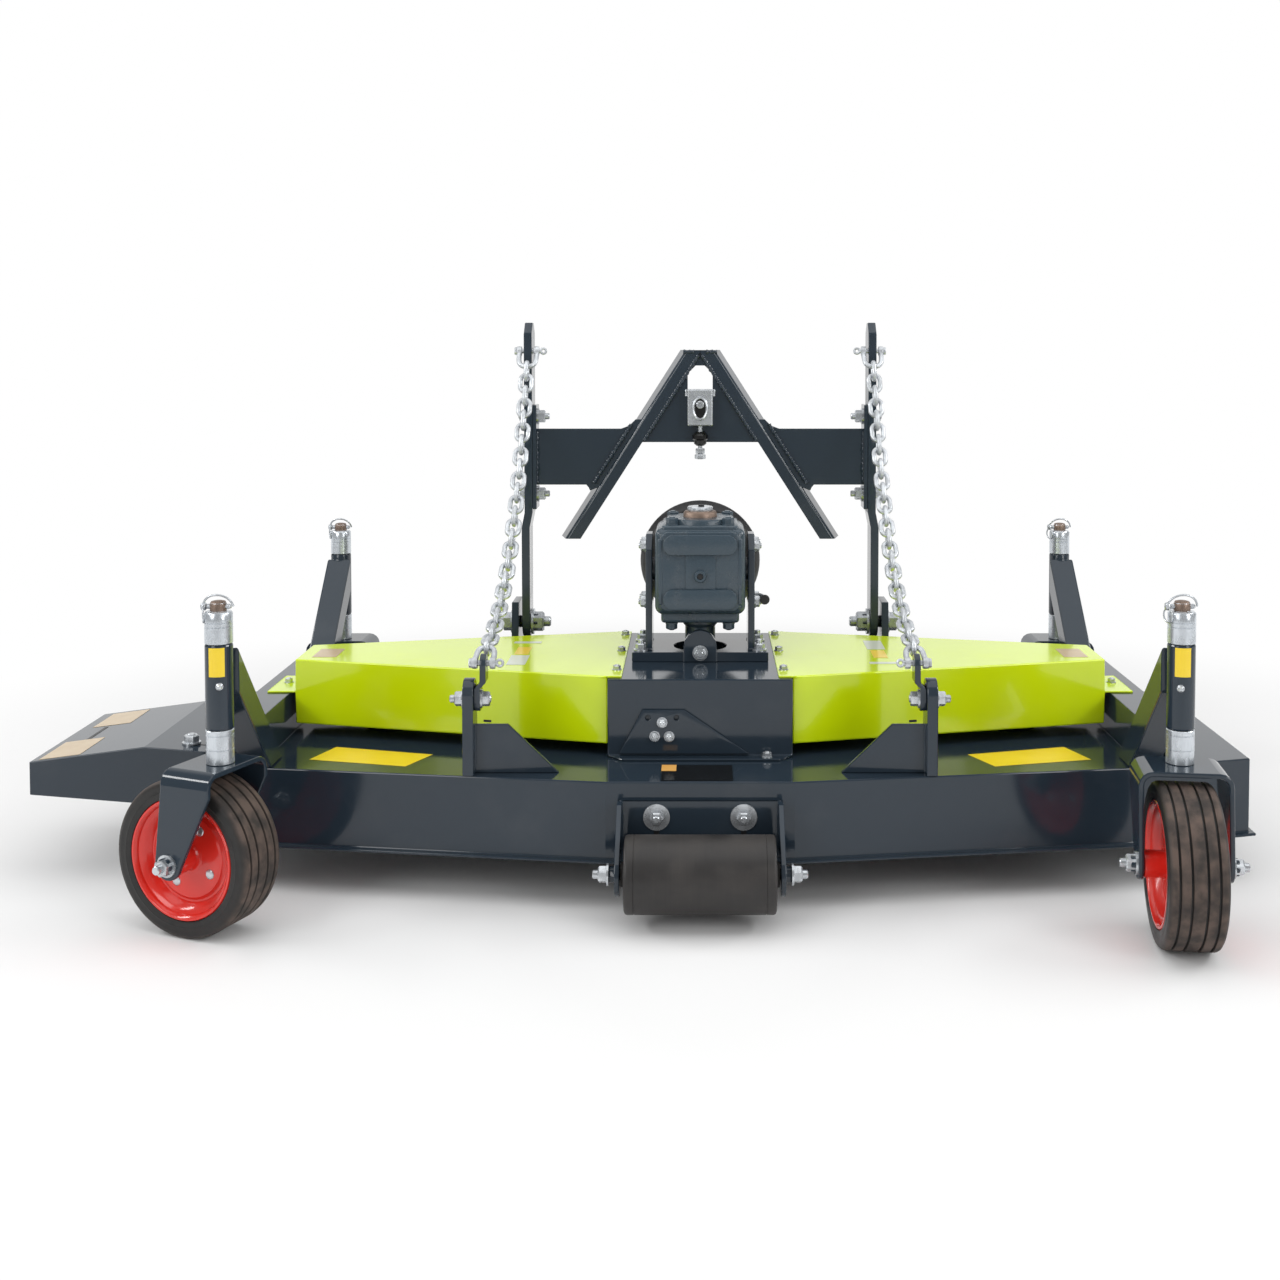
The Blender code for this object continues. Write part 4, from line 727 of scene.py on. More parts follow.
def tyre_mesh():
    """A solid tyre: sidewalls with a moulded ring, and a tread of five ribs that is worn at its edges."""
    side = [(0.097, 0.042, 0), (0.1, 0.0434, 0), (0.105, 0.043, 0), (0.1065, 0.0436, 0), (0.108, 0.043, 0),
            (0.115, 0.0436, 0), (0.1195, 0.043, 0.1), (0.1228, 0.0408, 0.5), (0.1244, 0.0378, 1),
            (WHEEL_RADIUS, 0.034, 1)]
    # distance below the tread, half width, wear
    lip = [(0, GROOVE_HALF + 0.0006, 1), (0.0007, GROOVE_HALF, 0.5), (GROOVE_DEPTH, GROOVE_HALF * 0.6, 0)]
    tread = [(WHEEL_RADIUS - depth, groove + half, worn)
             for groove in reversed(GROOVES) for depth, half, worn in lip + far_side(lip)]
    return spun(side + tread + far_side(side), 96)


def rim_mesh():
    """A pressed rim: rolled lip, bead seat, step and dished middle on a tube hub, the same on both sides."""
    side = [(0.0088, HUB_HALF), (0.02, HUB_HALF), (0.021, HUB_HALF - 0.001), (0.021, 0.029), (0.023, 0.0255),
            (0.028, 0.0245), (0.061, 0.0245), (0.065, 0.024), (0.0672, 0.0215), (0.07, 0.02),
            (0.0728, 0.0205), (0.0748, 0.0235), (0.079, 0.0305), (0.084, 0.0345), (0.0872, 0.0358),
            (0.088, 0.038), (0.0892, 0.0408), (0.092, 0.0428), (0.095, 0.0428), (0.0967, 0.04)]
    return spun(side + far_side(side), 72)


def stem_mesh():
    """Pin and collars, with two ring grooves round each collar."""
    top = TUBE_TOP + 0.05
    lower_end = [(COLLAR_RADIUS, COLLAR_TOP - 0.0013), (COLLAR_RADIUS - 0.001, COLLAR_TOP - 0.0003),
                 (PIN_RADIUS, COLLAR_TOP - 0.0003)]
    upper_end = [(COLLAR_RADIUS, top - 0.003), (COLLAR_RADIUS - 0.002, top), (0.0128, top + 0.0005),
                 (0.0122, top + 0.0012), (0.0122, STEM_TOP - 0.002), (0.0108, STEM_TOP), (0, STEM_TOP)]
    profile = []
    # foot, radius it starts from, heights of the grooves over the foot, upper end
    for foot, inner, grooves, end in ((FORK_TOP, 0, (0.0225, 0.045), lower_end),
                                      (TUBE_TOP, PIN_RADIUS, (0.026, 0.033), upper_end)):
        profile += [(inner, foot + 0.0003), (COLLAR_RADIUS - 0.001, foot + 0.0003),
                    (COLLAR_RADIUS, foot + 0.0013)]
        profile += [(COLLAR_RADIUS - depth, foot + groove + rise) for groove in grooves
                    for depth, rise in ((0, 0), (0.0008, 0.0005), (0.0008, 0.0013), (0, 0.0018))]
        profile += end
    return spun([(radius, height - FORK_TOP) for radius, height in profile], 40)


def casters():
    tyre, rim, stem = tyre_mesh(), rim_mesh(), stem_mesh()
    for name, *post in CASTERS:
        swivel = swivel_of(*post)
        axle = swivel @ Matrix.Translation((0, -TRAIL, WHEEL_RADIUS))
        upright = swivel @ Matrix.Translation((0, 0, FORK_TOP)) @ Matrix.Rotation(-math.pi / 2, 4, "Y")
        # piece, mesh, place, body, node it stands for, finish, slot
        for piece, mesh, place, body, node, finish, slot in (
                ("tread", tyre, axle, "wheel", "tyre", TYRE, "tyre_rubber"),
                ("pressed_rim", rim, axle, "wheel", "rim", RIM_RED, "rim_red"),
                ("collars", stem, upright, "swivel", "caster_stem", COLLAR_ZINC, "zinc")):
            copy = mesh.copy()
            copy.transform(place)
            finished(f"{piece}_{name}", copy, finish, f"{body}_{name}", node=f"{node}_{name}")


casters()


# Discharge chute: its front panel runs on to the side of the deck

def discharge_chute():
    front, rear = -0.24, 0.085
    # x, height along the top of the sheet, from the tab on the deck to the outer end
    top = ((-0.822, 0.2123), (-0.84, 0.2123), (-0.846, 0.2255), (-0.95, 0.234), (-1.147, 0.208))
    bottom = ((-0.972, 0.137), (-1.147, 0.151))
    inner = ((-0.846, 0.213), (-0.868, 0.213), (-0.9, 0.131))
    bm = bmesh.new()
    rows = [[bm.verts.new(at(x, y, height)) for x, height in top + bottom] for y in (front, rear)]
    for index in range(len(top) - 1):
        bm.faces.new((rows[0][index], rows[0][index + 1], rows[1][index + 1], rows[1][index]))
    for row in rows:
        bm.faces.new((row[3], row[4], row[6], row[5]))
    extra = [bm.verts.new(at(x, front, height)) for x, height in inner]
    bm.faces.new((rows[0][2], rows[0][3], rows[0][5], extra[2], extra[1], extra[0]))
    bmesh.ops.recalc_face_normals(bm, faces=bm.faces)
    mesh = mesh_of(bm)
    outer_top = mesh.polygons[3]
    if outer_top.normal.z < 0:
        mesh.flip_normals()
    sheet = real_mesh(mesh, "SOLIDIFY", thickness=0.004, offset=-1.0, use_even_offset=True)
    finished("discharge_chute", soft(sheet, 0.0015), PAINT, "deck", node="side_chute")


discharge_chute()


# Gearbox casting

def gearbox_casting():
    foot = at(0, GEARBOX_Y, 0)
    body = block((-0.082, -0.08, 0.43), (0.082, 0.06, 0.588), 0.015, 5)
    cover = upright_plate(soft_outline(0.073, 0.44, 0.584, 0.016), -0.098, -0.06, 0.0035)
    pads = [upright_plate(soft_outline(0.0665, low, low + 0.036, 0.0165), -0.105, -0.09, 0.0016)
            for low in (0.4445, 0.543)]
    # raised strip between the pads, with a rib at each edge of the cover
    strip = block((-0.0265, -0.1002, 0.475), (0.028, -0.09, 0.55), 0.0008)
    ribs = [block((side * 0.0715 - 0.0045, -0.099, 0.452), (side * 0.0715 + 0.0045, -0.085, 0.572), 0.003, 3)
            for _, side in SIDES]
    flange = block((-0.071, -0.07, 0.414), (0.071, 0.05, 0.44), 0.006, 3)
    shoulder = block((-0.07, -0.074, 0.572), (0.07, 0.054, 0.5925), 0.005, 3)
    top = turned(((0, 0.58), (0.062, 0.58), (0.062, 0.599), (0.06, 0.602), (0, 0.6021)), 48, foot, UP)
    neck = turned(((0, 0.305), (0.028, 0.305), (0.028, 0.3995), (0.0335, 0.406), (0.0335, 0.42),
                   (0, 0.42)), 36, foot, UP)
    across = turned(((0, -0.087), (0.022, -0.087), (0.022, 0.087), (0, 0.087)), 28,
                    at(0, GEARBOX_Y, PTO_HEIGHT))
    rear = turned(((0, 0.05), (0.058, 0.05), (0.058, 0.0725), (0.056, 0.074), (0.0185, 0.074), (0.0185, 0.04),
                   (0, 0.04)), 40, at(0, 0, PTO_HEIGHT), BACK)
    whole = joined(body, cover, *pads, strip, *ribs, flange, shoulder, top, neck, across, rear)
    finished("gearbox_casting", whole, CAST, "deck", 40, False, "gearbox_housing")


# Coupling triangle of two angle legs, a web with a window, cross plates and end plates

LEG_FOOT = (0.283, 0.527)
LEG_TOP = (0.04, 0.907)
LEG_SLOPE = (LEG_FOOT[0] - LEG_TOP[0]) / (LEG_FOOT[1] - LEG_TOP[1])
TRIANGLE_FRONT = 0.233
TRIANGLE_REAR = 0.283
SHEET = 0.008
WEB_FRONT = 0.237
WEB_REAR = 0.247


def leg_x(height, inward=0.0):
    """x of the right leg's outer edge at a height, or of a line that far inside it."""
    return LEG_FOOT[0] + LEG_SLOPE * (height - LEG_FOOT[1]) - inward


def bend(before, corner, after, radius, count=5):
    """Points that round a corner of a section."""
    before, corner, after = Vector(before), Vector(corner), Vector(after)
    first = corner + (before - corner).normalized() * radius
    last = corner + (after - corner).normalized() * radius
    shares = [step / count for step in range(count + 1)]
    return [tuple(first * (1 - share) ** 2 + corner * (2 * share * (1 - share)) + last * share ** 2)
            for share in shares]


def triangle_leg(side):
    front, back, rear = TRIANGLE_FRONT, TRIANGLE_FRONT + SHEET, TRIANGLE_REAR
    section = [(0.0, rear), *bend((0.0, rear), (-0.012, front), (-0.042, front), 0.0075), (-0.042, front),
               (-0.042, back), *bend((-0.042, back), (-0.0192, back), (-0.0088, rear), 0.002, 3),
               (-0.0088, rear)]
    return loft([[at(side * (leg_x(height) + x), y, height) for x, y in section]
                 for height in (LEG_FOOT[1], 0.717, LEG_TOP[1])])


def coupling_triangle():
    pieces = [triangle_leg(side) for _, side in SIDES]
    # half of the web, round half of its window
    half_web = ((0.0, 0.722), (leg_x(0.722, 0.03), 0.722), (leg_x(0.9055, 0.03), 0.9055), (0.0, 0.9055),
                (0.0, 0.876), (0.009, 0.876), (0.025, 0.86), (0.025, 0.77), (0.0, 0.77))
    # a cross plate, from the leg's edge out to the end plate
    cross = ((leg_x(0.636, 0.021), 0.636), (leg_x(0.624, -0.001), 0.624), (leg_x(0.628, -0.006), 0.63),
             (leg_x(0.636, -0.016), 0.636), (0.3325, 0.636), (0.3325, 0.749), (leg_x(0.749, -0.018), 0.749),
             (leg_x(0.757, -0.007), 0.755), (leg_x(0.768, -0.001), 0.768), (leg_x(0.768, 0.021), 0.768))
    for _, side in SIDES:
        pieces.append(loft([[at(side * x, y, height) for x, height in half_web]
                            for y in (WEB_FRONT, WEB_REAR)]))
        pieces.append(upright_plate([(side * x, height) for x, height in cross], WEB_FRONT, WEB_REAR, 0.0008))
        low, high = sorted((side * 0.3287, side * 0.3367))
        pieces.append(block((low, 0.229, 0.587), (high, TRIANGLE_REAR, 0.797), 0.0015))
    finished("coupling_triangle_dressed", joined(*pieces), PAINT, "coupling_frame",
             node="coupling_triangle")


LOCK_FACE = 0.211
SLOT_HEIGHT = 0.791
STUD = at(0, 0.222, 0)


def coupling_lock():
    """The block that locks the coupling: ears, an oval slot of painted shade with its ring, and a stud with
    nuts below.
    """
    body = block((-0.0246, LOCK_FACE, 0.7705), (0.0246, 0.2545, 0.8285), 0.002)
    face = block((-0.0253, 0.2112, 0.756), (0.0253, 0.2325, 0.829), 0.0025, 3)
    ears = [block((side * 0.027 - 0.003, 0.214, 0.815), (side * 0.027 + 0.003, 0.232, 0.829))
            for _, side in SIDES]
    ring = tube(circle(at(0, 0.2105, SLOT_HEIGHT), Vector((0.0145, 0, 0)), Vector((0, 0, 0.0225)), 12),
                0.0026, closed=True)
    stud = turned(((0, 0.69), (0.004, 0.69), (0.0046, 0.691), (0.0046, 0.76), (0, 0.76)), 16, STUD, UP)
    nuts = [turned(((0, low), (size * 0.9, low), (size, low + 0.0012), (size, high - 0.0012),
                    (size * 0.9, high), (0, high)), 6, STUD, UP)
            for low, high, size in ((0.6895, 0.6985, 0.011), (0.6995, 0.7105, 0.0092))]
    screw = turned(((0, 0), (0.0078, 0), (0.0078, 0.0032), (0.0068, 0.0042), (0.004, 0.0042),
                    (0.0036, 0.0012), (0, 0.0012)), 20, at(0, LOCK_FACE, 0.7985), FRONT)
    whole = joined(body, face, *ears, ring, stud, *nuts, screw)
    finished("coupling_lock", whole, ZINC, "coupling_frame", node="lock_block")
    # the oval slot is a thin black disc on the lock's face: painted shade where the hole is; the collar is
    # dark paint
    slot = turned(((0, 0), (0.0125, 0), (0.0125, 0.0009), (0, 0.001)), 28,
                  at(0, LOCK_FACE, SLOT_HEIGHT), FRONT)
    middle = at(0, 0, SLOT_HEIGHT)
    slot.transform(Matrix.Translation(middle) @ Matrix.Diagonal((0.85, 1.0, 1.55, 1.0))
                   @ Matrix.Translation(-middle))
    collar = turned(((0, 0.716), (0.008, 0.716), (0.0125, 0.72), (0.013, 0.727), (0.016, 0.73),
                     (0.016, 0.737), (0.013, 0.74), (0.0085, 0.744), (0, 0.744)), 24, STUD, UP)
    finished("lock_slot_shade_and_collar", joined(slot, collar), BLACK_PLATE_AND_SLOT_SHADE, "coupling_frame")


gearbox_casting()
coupling_triangle()
coupling_lock()


# Fasteners

# kind: washer, head and stud in units of the hexagon's own radius, finish
FASTENER_KINDS = {
    "nut": (1.3, 0.85, 0.55, ZINC),
    "screw": (1.22, 0.8, 0.03, ZINC),
    "short": (1.15, 0.6, 0.2, ZINC),
    "wide": (1.9, 0.75, 0.3, ZINC),
    "dark": (1.08, 0.8, 0.03, CAST),
}

# kind, x, several y, several heights, way, hexagon radius, on both sides
DECK_FASTENERS = (
    ("screw", 0.147, (0.16, 0.01, -0.15), (0.3468,), UP, 0.007, True),
    ("screw", 0.769, (0.006,), (0.2879,), UP, 0.007, True),
    ("screw", -0.0655, (-0.2183,), (0.271,), FRONT, 0.0075, False),
    ("screw", -0.0784, (-0.2183,), (0.247,), FRONT, 0.0075, False),
    ("screw", -0.0535, (-0.2183,), (0.2466,), FRONT, 0.0075, False),
    ("screw", 0.115, (-0.224,), (0.2123,), UP, 0.0075, False),
    ("screw", 0.115, (0.207,), (0.2123,), UP, 0.0075, True),
    ("nut", 0.108, (-0.052, 0.035), (0.3613,), UP, 0.0105, True),
    ("short", 0.0995, (-0.035, 0.015), (0.551,), OUT, 0.01, True),
    ("short", 0.0995, (-0.035, 0.015), (0.448,), OUT, 0.0105, True),
    ("screw", 0.0, (-0.075,), (0.361,), FRONT, 0.0115, False),
    ("dark", 0.051, (-0.058, 0.038), (0.5925,), UP, 0.011, True),
    ("dark", 0.052, (-0.058, 0.038), (0.414,), DOWN, 0.0105, True),
    ("wide", 0.071, (-0.3633,), (0.153,), FRONT, 0.0115, True),
    ("nut", 0.145, (-0.4315,), (0.083,), OUT, 0.0135, True),
    ("nut", 0.393, (-0.3,), (0.332,), OUT, 0.0125, True),
    ("screw", 0.3647, (-0.3,), (0.332,), IN, 0.0125, True),
    ("nut", 0.342, (PIVOT_Y,), (0.355,), IN, 0.02, True),
    ("screw", 0.379, (PIVOT_Y,), (0.355,), OUT, 0.019, True),
    ("screw", -0.883, (-0.198, 0.05), (0.2288,), UP, 0.013, False),
)
FRAME_FASTENERS = (
    ("nut", 0.3287, (PIVOT_Y,), (0.773, 0.616), IN, 0.0125, True),
    ("screw", 0.3532, (PIVOT_Y,), (0.773, 0.616), OUT, 0.0105, True),
)


def fasteners(body, rows):
    """One piece of each kind of fastener for a body: rows of kind, place, way, size."""
    for kind, (washer, head, stud, finish) in FASTENER_KINDS.items():
        chosen = [row[1:] for row in rows if row[0] == kind]
        if chosen:
            mesh = FASTENER.grow(spots(chosen), finish, Washer=washer, Head=head, Stud=stud)
            finished(f"{kind}_fasteners_{body}", mesh, finish, body, 30)


def on_both_sides(table):
    return [(kind, at(side * x, y, height), (side * way[0], way[1], way[2]), size)
            for kind, x, depths, heights, way, size, both in table
            for y in depths for height in heights for side in ((1, -1) if both else (1,))]


fasteners("deck", on_both_sides(DECK_FASTENERS))
fasteners("coupling_frame", on_both_sides(FRAME_FASTENERS))
for name, *post in CASTERS:
    swivel = swivel_of(*post)
    fasteners(f"swivel_{name}", [("nut", swivel @ Vector((side * FORK_HALF, -TRAIL, WHEEL_RADIUS)),
                                  swivel.to_3x3() @ Vector((side, 0, 0)), 0.0135) for _, side in SIDES])


# Rivets that hold each rim's two halves together

RIVET_RING = 0.048
RIVET_FIRST = -29
RIVET_PLANE = 0.0245


def rim_rivets():
    for name, *post in CASTERS:
        axle = swivel_of(*post) @ Matrix.Translation((0, -TRAIL, WHEEL_RADIUS))
        rows = []
        for _, side in SIDES:
            for quarter in range(4):
                turn = math.radians(RIVET_FIRST + 90 * quarter)
                spot = Vector((side * RIVET_PLANE, RIVET_RING * math.cos(turn), RIVET_RING * math.sin(turn)))
                rows.append((axle @ spot, axle.to_3x3() @ Vector((side, 0, 0)), 0.008))
        finished(f"rivets_{name}", DOME.grow(spots(rows), ZINC, Rise=0.3), ZINC, f"wheel_{name}", 60)


rim_rivets()


# Lynch pins through the stems, with their rings, and grease fittings on the post tubes

def lynch_pins():
    across, up, away = Vector(OUT), Vector(UP), Vector(FRONT)
    lean = (up * 0.92 + away * 0.38).normalized()
    for name, post_x, post_y, _ in CASTERS:
        post = at(post_x, post_y, 0)
        hole = post + up * (STEM_TOP - 0.0075)
        pin = turned(((0, -0.02), (0.0034, -0.0185), (0.004, -0.016), (0.004, 0.0175), (0.0028, 0.02),
                      (0, 0.0205)), 14, hole)
        head = turned(((0, -0.0265), (0.0052, -0.0262), (0.0064, -0.024), (0.0064, -0.02), (0.004, -0.018),
                       (0, -0.018)), 14, hole)
        hoop = tube([hole + across * (0.0235 * math.cos(turn)) + lean * (0.0205 * math.sin(turn) + 0.0005)
                     for turn in (math.pi * index / 8 for index in range(9))], 0.0017)
        loop = tube(circle(hole + Vector((-0.0225, -0.004, -0.0135)), up * 0.012,
                           (across * 0.35 + away * 0.94) * 0.012), 0.0013, closed=True)
        finished(f"lynch_pin_{name}", joined(pin, head, hoop, loop), ZINC, f"swivel_{name}", 60)
        # radius, distance below the stem's top
        cap = ((0, 0.0142), (0.0126, 0.0142), (0.0129, 0.009), (0.0127, 0.003), (0.0108, -0.0006),
               (0.006, -0.0018), (0, -0.002))
        end = turned([(radius, STEM_TOP - below) for radius, below in cap], 26, post, UP)
        finished(f"stem_end_{name}", end, BROWN_STEEL, f"swivel_{name}", 50)


def grease_fittings():
    shape = ((0, -0.002), (0.0058, -0.002), (0.0058, 0.0035), (0.004, 0.0045), (0.004, 0.0065),
             (0.003, 0.0074), (0.0036, 0.009), (0.0026, 0.0108), (0, 0.011))
    fittings = []
    for (_, post_x, post_y, _), height in zip(CASTERS, (0.396, 0.393, 0.4, 0.4)):
        way = Vector((-0.31 if post_x > 0 else 0.31, -0.95, 0)) if post_y < 0 else Vector(BACK)
        fittings.append(turned(shape, 16, at(post_x, post_y, height) + way * 0.0212, way))
    finished("grease_fittings", joined(*fittings), ZINC, "deck", 40)


lynch_pins()
grease_fittings()


# Gearbox: plug with a hexagon socket of painted shade, oil filler and its cap, breather pipe

def gearbox_fittings():
    plug = turned(((0, 0), (0.0112, 0), (0.0112, 0.0062), (0.01, 0.008), (0.0058, 0.008), (0.005, 0.003),
                   (0, 0.003)), 28, at(0, -0.099, PTO_HEIGHT), FRONT)
    # the hexagon socket is a thin black disc over the plug's recess: painted shade
    socket = turned(((0, 0), (0.0052, 0), (0.0052, 0.0003), (0, 0.0004)), 6, at(0, -0.107, PTO_HEIGHT), FRONT)
    filler = turned(((0, 0), (0.0225, 0), (0.0235, 0.002), (0.0235, 0.0075), (0.0222, 0.0088), (0.01, 0.0092),
                     (0, 0.0092)), 36, at(0, GEARBOX_Y, 0.612), UP)
    elbow = tube([at(0.099, -0.01, 0.456), at(0.104, -0.0105, 0.456), at(0.113, -0.014, 0.4555),
                  at(0.1175, -0.024, 0.4545), at(0.1182, -0.0345, 0.4535), at(0.1182, -0.044, 0.453)], 0.004)
    finished("gearbox_fittings", joined(filler, elbow), ZINC, "deck", 40)
    finished("gearbox_plug", plug, CAST, "deck", 40)
    cap = turned(((0.0305, 0), (0.0315, 0.001), (0.0305, 0.011), (0.028, 0.0138), (0, 0.014), (0, 0)), 36,
                 at(0, GEARBOX_Y, 0.599), UP)
    finished("gearbox_oil_cap", cap, BROWN_STEEL, "deck", 40)
    knob = turned(((0, 0), (0.0055, 0), (0.0055, 0.0035), (0, 0.004)), 18, at(0.002, -0.016, 0.6208), UP)
    disc = turned(((0, 0), (0.0088, 0), (0.0092, 0.0015), (0.0088, 0.0045), (0, 0.005)), 24,
                  at(0.1182, -0.043, 0.453), FRONT)
    # breather caps, joined with the socket's black disc of painted shade
    finished("breather_caps_and_socket_shade", joined(knob, disc, socket), PLASTIC_AND_SHADE, "deck", 40)


gearbox_fittings()


# Shaft and roller

def pto_shield():
    """A moulded cup open to the rear, with rolled edges."""
    back, mouth = 0.0743, PTO_Y + 0.015
    wall = [(0.036, back), (0.1, back), (0.103, back + 0.0012), (0.1052, back + 0.004),
            (0.1135, back + 0.0205), (0.1148, back + 0.024), (0.1145, back + 0.028), (0.0986, mouth - 0.001),
            (0.0978, mouth), (0.0962, mouth), (0.0954, mouth - 0.001), (0.1112, back + 0.0285),
            (0.111, back + 0.024), (0.1022, back + 0.006), (0.1, back + 0.003), (0.036, back + 0.003)]
    cup = turned(wall, 72, at(0, 0, PTO_HEIGHT), BACK)
    finished("pto_shield_dressed", cup, PLASTIC_AND_SHADE, "deck", 40, False, "pto_shield")


SPLINES = 6
SPLINE_STEPS = 12
SPLINE_RADIUS = 0.0173
ROOT_RADIUS = 0.0147
SHAFT_LIMIT = 0.0174


def splined_shaft():
    """Six splines with a locking groove near the end and a cut edge."""
    rings = []
    # distance from the shaft's end, share of the spline depth, size of the whole section
    for distance, depth, size in ((0, 0, 0.93), (0.0022, 1, 1), (0.026, 1, 1), (0.0266, 0, 1), (0.033, 0, 1),
                                  (0.0336, 1, 1), (0.112, 1, 1), (0.115, 0, 1.18)):
        ring = []
        for step in range(SPLINES * SPLINE_STEPS):
            turn = 2 * math.pi * step / (SPLINES * SPLINE_STEPS)
            rise = depth if step % SPLINE_STEPS < SPLINE_STEPS / 2 else 0
            radius = min((ROOT_RADIUS + (SPLINE_RADIUS - ROOT_RADIUS) * rise) * size, SHAFT_LIMIT)
            ring.append(at(radius * math.cos(turn), PTO_Y - distance, PTO_HEIGHT + radius * math.sin(turn)))
        rings.append(ring)
    finished("splined_shaft", loft(rings), BARE_STEEL, "pto_shaft", 25, node="pto_shaft")


def roller_tube():
    """A rubber sleeve with a moulded line near each end, on a hub tube."""
    side = [(0.0086, 0.1258), (0.0195, 0.1258), (0.02, 0.1205), (0.052, 0.1195), (0.056, 0.12),
            (0.0592, 0.1188), (0.0606, 0.1168), (0.061, 0.114), (0.061, 0.105), (0.0604, 0.1046),
            (0.0604, 0.104), (0.061, 0.1036), (0.0609, 0.05)]
    sleeve = turned(side + [(0.061, 0)] + far_side(side), 80, at(0, -0.4315, 0.083))
    finished("roller_sleeve", sleeve, ROLLER, "front_roller", 30, node="front_roller")


pto_shield()
splined_shaft()
roller_tube()


# Blank stickers, the black plate, and dark sheets over the slots that paint the shade inside them

FILM = 0.0003
# thickness of the dark sheets that paint the shade inside slots
SLOT_SHADE_FILM = 0.0002
PLATE = 0.0012
THROW = 0.25
OVER_CHUTE = 0.22
OVER_COVERS = 0.35
# the slot sheets are dark marks of painted shade where the slots are
SHEET_FINISHES = {
    "yellow_stickers": YELLOW, "faded_stickers": FADED, "white_labels": WHITE, "orange_label": ORANGE,
    "black_plate": BLACK_PLATE_AND_SLOT_SHADE, "slots": PLASTIC_AND_SHADE,
}


def laid_on(surface, corners, way, thickness, lift=0.0002, across=1):
    """A thin sheet that lies on a piece of the scene: its corners are thrown at the piece the given way."""
    way = Vector(way)
    low_first, low_last, high_last, high_first = corners
    grid = []
    for column in range(across + 1):
        line = []
        for low_end, high_end in ((low_first, low_last), (high_first, high_last)):
            start = low_end.lerp(high_end, column / across) - way * THROW
            _, spot, normal, _ = bpy.data.objects[surface].ray_cast(start, way, distance=2 * THROW)
            if normal.dot(way) > 0:
                normal = -normal
            line.append((spot + normal * lift, normal))
        grid.append(line)
    bm = bmesh.new()
    inner, outer = [[[bm.verts.new(spot + normal * rise) for spot, normal in line] for line in grid]
                    for rise in (0.0, thickness)]
    for index in range(across):
        for layer in (inner, outer):
            bm.faces.new((layer[index][0], layer[index][1], layer[index + 1][1], layer[index + 1][0]))
        for end in (0, 1):
            bm.faces.new((inner[index][end], outer[index][end], outer[index + 1][end], inner[index + 1][end]))
    for index in (0, across):
        bm.faces.new((inner[index][0], inner[index][1], outer[index][1], outer[index][0]))
    bmesh.ops.recalc_face_normals(bm, faces=bm.faces)
    return mesh_of(bm)


def flat_corners(middle_x, middle_y, half_x, half_y, height):
    return [at(middle_x + side_x * half_x, middle_y + side_y * half_y, height)
            for side_x, side_y in ((-1, -1), (1, -1), (1, 1), (-1, 1))]


def front_corners(middle_x, half_x, y, low, high):
    return [at(middle_x + side * half_x, y, height)
            for side, height in ((-1, low), (1, low), (1, high), (-1, high))]


def sheets():
    laid = {label: [] for label in SHEET_FINISHES}

    def lay(label, surface, corners, way=DOWN, thickness=FILM, **more):
        laid[label].append(laid_on(surface, corners, way, thickness, **more))

    for _, side in SIDES:
        corners = ((-0.672, -0.226), (-0.4985, -0.267), (-0.4653, -0.195), (-0.6443, -0.147))
        lay("yellow_stickers", "deck_shell_rounded", [at(-side * x, y, DECK_TOP) for x, y in corners])
    for middle_x, middle_y, half_y in ((-1.098, -0.178, 0.055), (-1.089, 0.023, 0.05)):
        lay("faded_stickers", "discharge_chute", flat_corners(middle_x, middle_y, 0.035, half_y, OVER_CHUTE))
    # one on the front of each front post: its first and last x from the post's middle
    for (side_name, side), first, last in zip(SIDES, (-0.015, -0.009), (0.008, 0.014)):
        face = Vector((side * 0.31, 0.95, 0.0)).normalized()
        along = Vector((face.y, -face.x, 0.0))
        post = at(side * 0.748, -0.462, 0.41)
        low = [post + along * first, post + along * last]
        high = [place + Vector((0, 0, 0.045)) for place in reversed(low)]
        lay("yellow_stickers", f"arm_front_{side_name}_rounded", low + high, face, across=10)
    for side_name, side in SIDES:
        cover = f"belt_cover_{side_name}_rounded"
        lay("faded_stickers", cover, flat_corners(side * 0.69, -0.01, 0.022, 0.036, OVER_COVERS))
        # the same sign on both covers, turned half round: sheets, distance from its middle, half sizes
        for label, from_middle, half_x, half_y in (("white_labels", 0.09, 0.026, 0.008),
                                                   ("yellow_stickers", 0.015, 0.013, 0.032),
                                                   ("white_labels", -0.066, 0.017, 0.04)):
            corners = flat_corners(side * 0.331, -0.005 - side * from_middle, half_x, half_y, OVER_COVERS)
            lay(label, cover, corners)
        # dark sheets over the slots in the cover and the roller bracket: painted shade
        lay("slots", cover, front_corners(side * 0.376, 0.007, -0.16, 0.2536, 0.2576), BACK, SLOT_SHADE_FILM)
        lay("slots", "roller_bracket_rounded", front_corners(side * 0.071, 0.0045, -0.366, 0.118, 0.1375),
            BACK, SLOT_SHADE_FILM)
    # middle and half sizes of the slots in the chute's top, covered by dark sheets of painted shade
    for slot in ((-0.858, -0.2, 0.008, 0.0025), (-1.094, -0.0805, 0.0035, 0.0435)):
        lay("slots", "discharge_chute", flat_corners(*slot, OVER_CHUTE), thickness=SLOT_SHADE_FILM)
    lay("black_plate", "deck_shell_rounded", flat_corners(-0.005, -0.305, 0.059, 0.043, DECK_TOP),
        thickness=PLATE)
    lay("orange_label", "deck_shell_rounded", flat_corners(-0.0525, -0.2795, 0.0125, 0.0175, DECK_TOP),
        lift=PLATE + SLOT_SHADE_FILM)
    for label, finish in SHEET_FINISHES.items():
        finished(label, joined(*laid[label]), finish, "deck", 40)


sheets()


# Weld beads

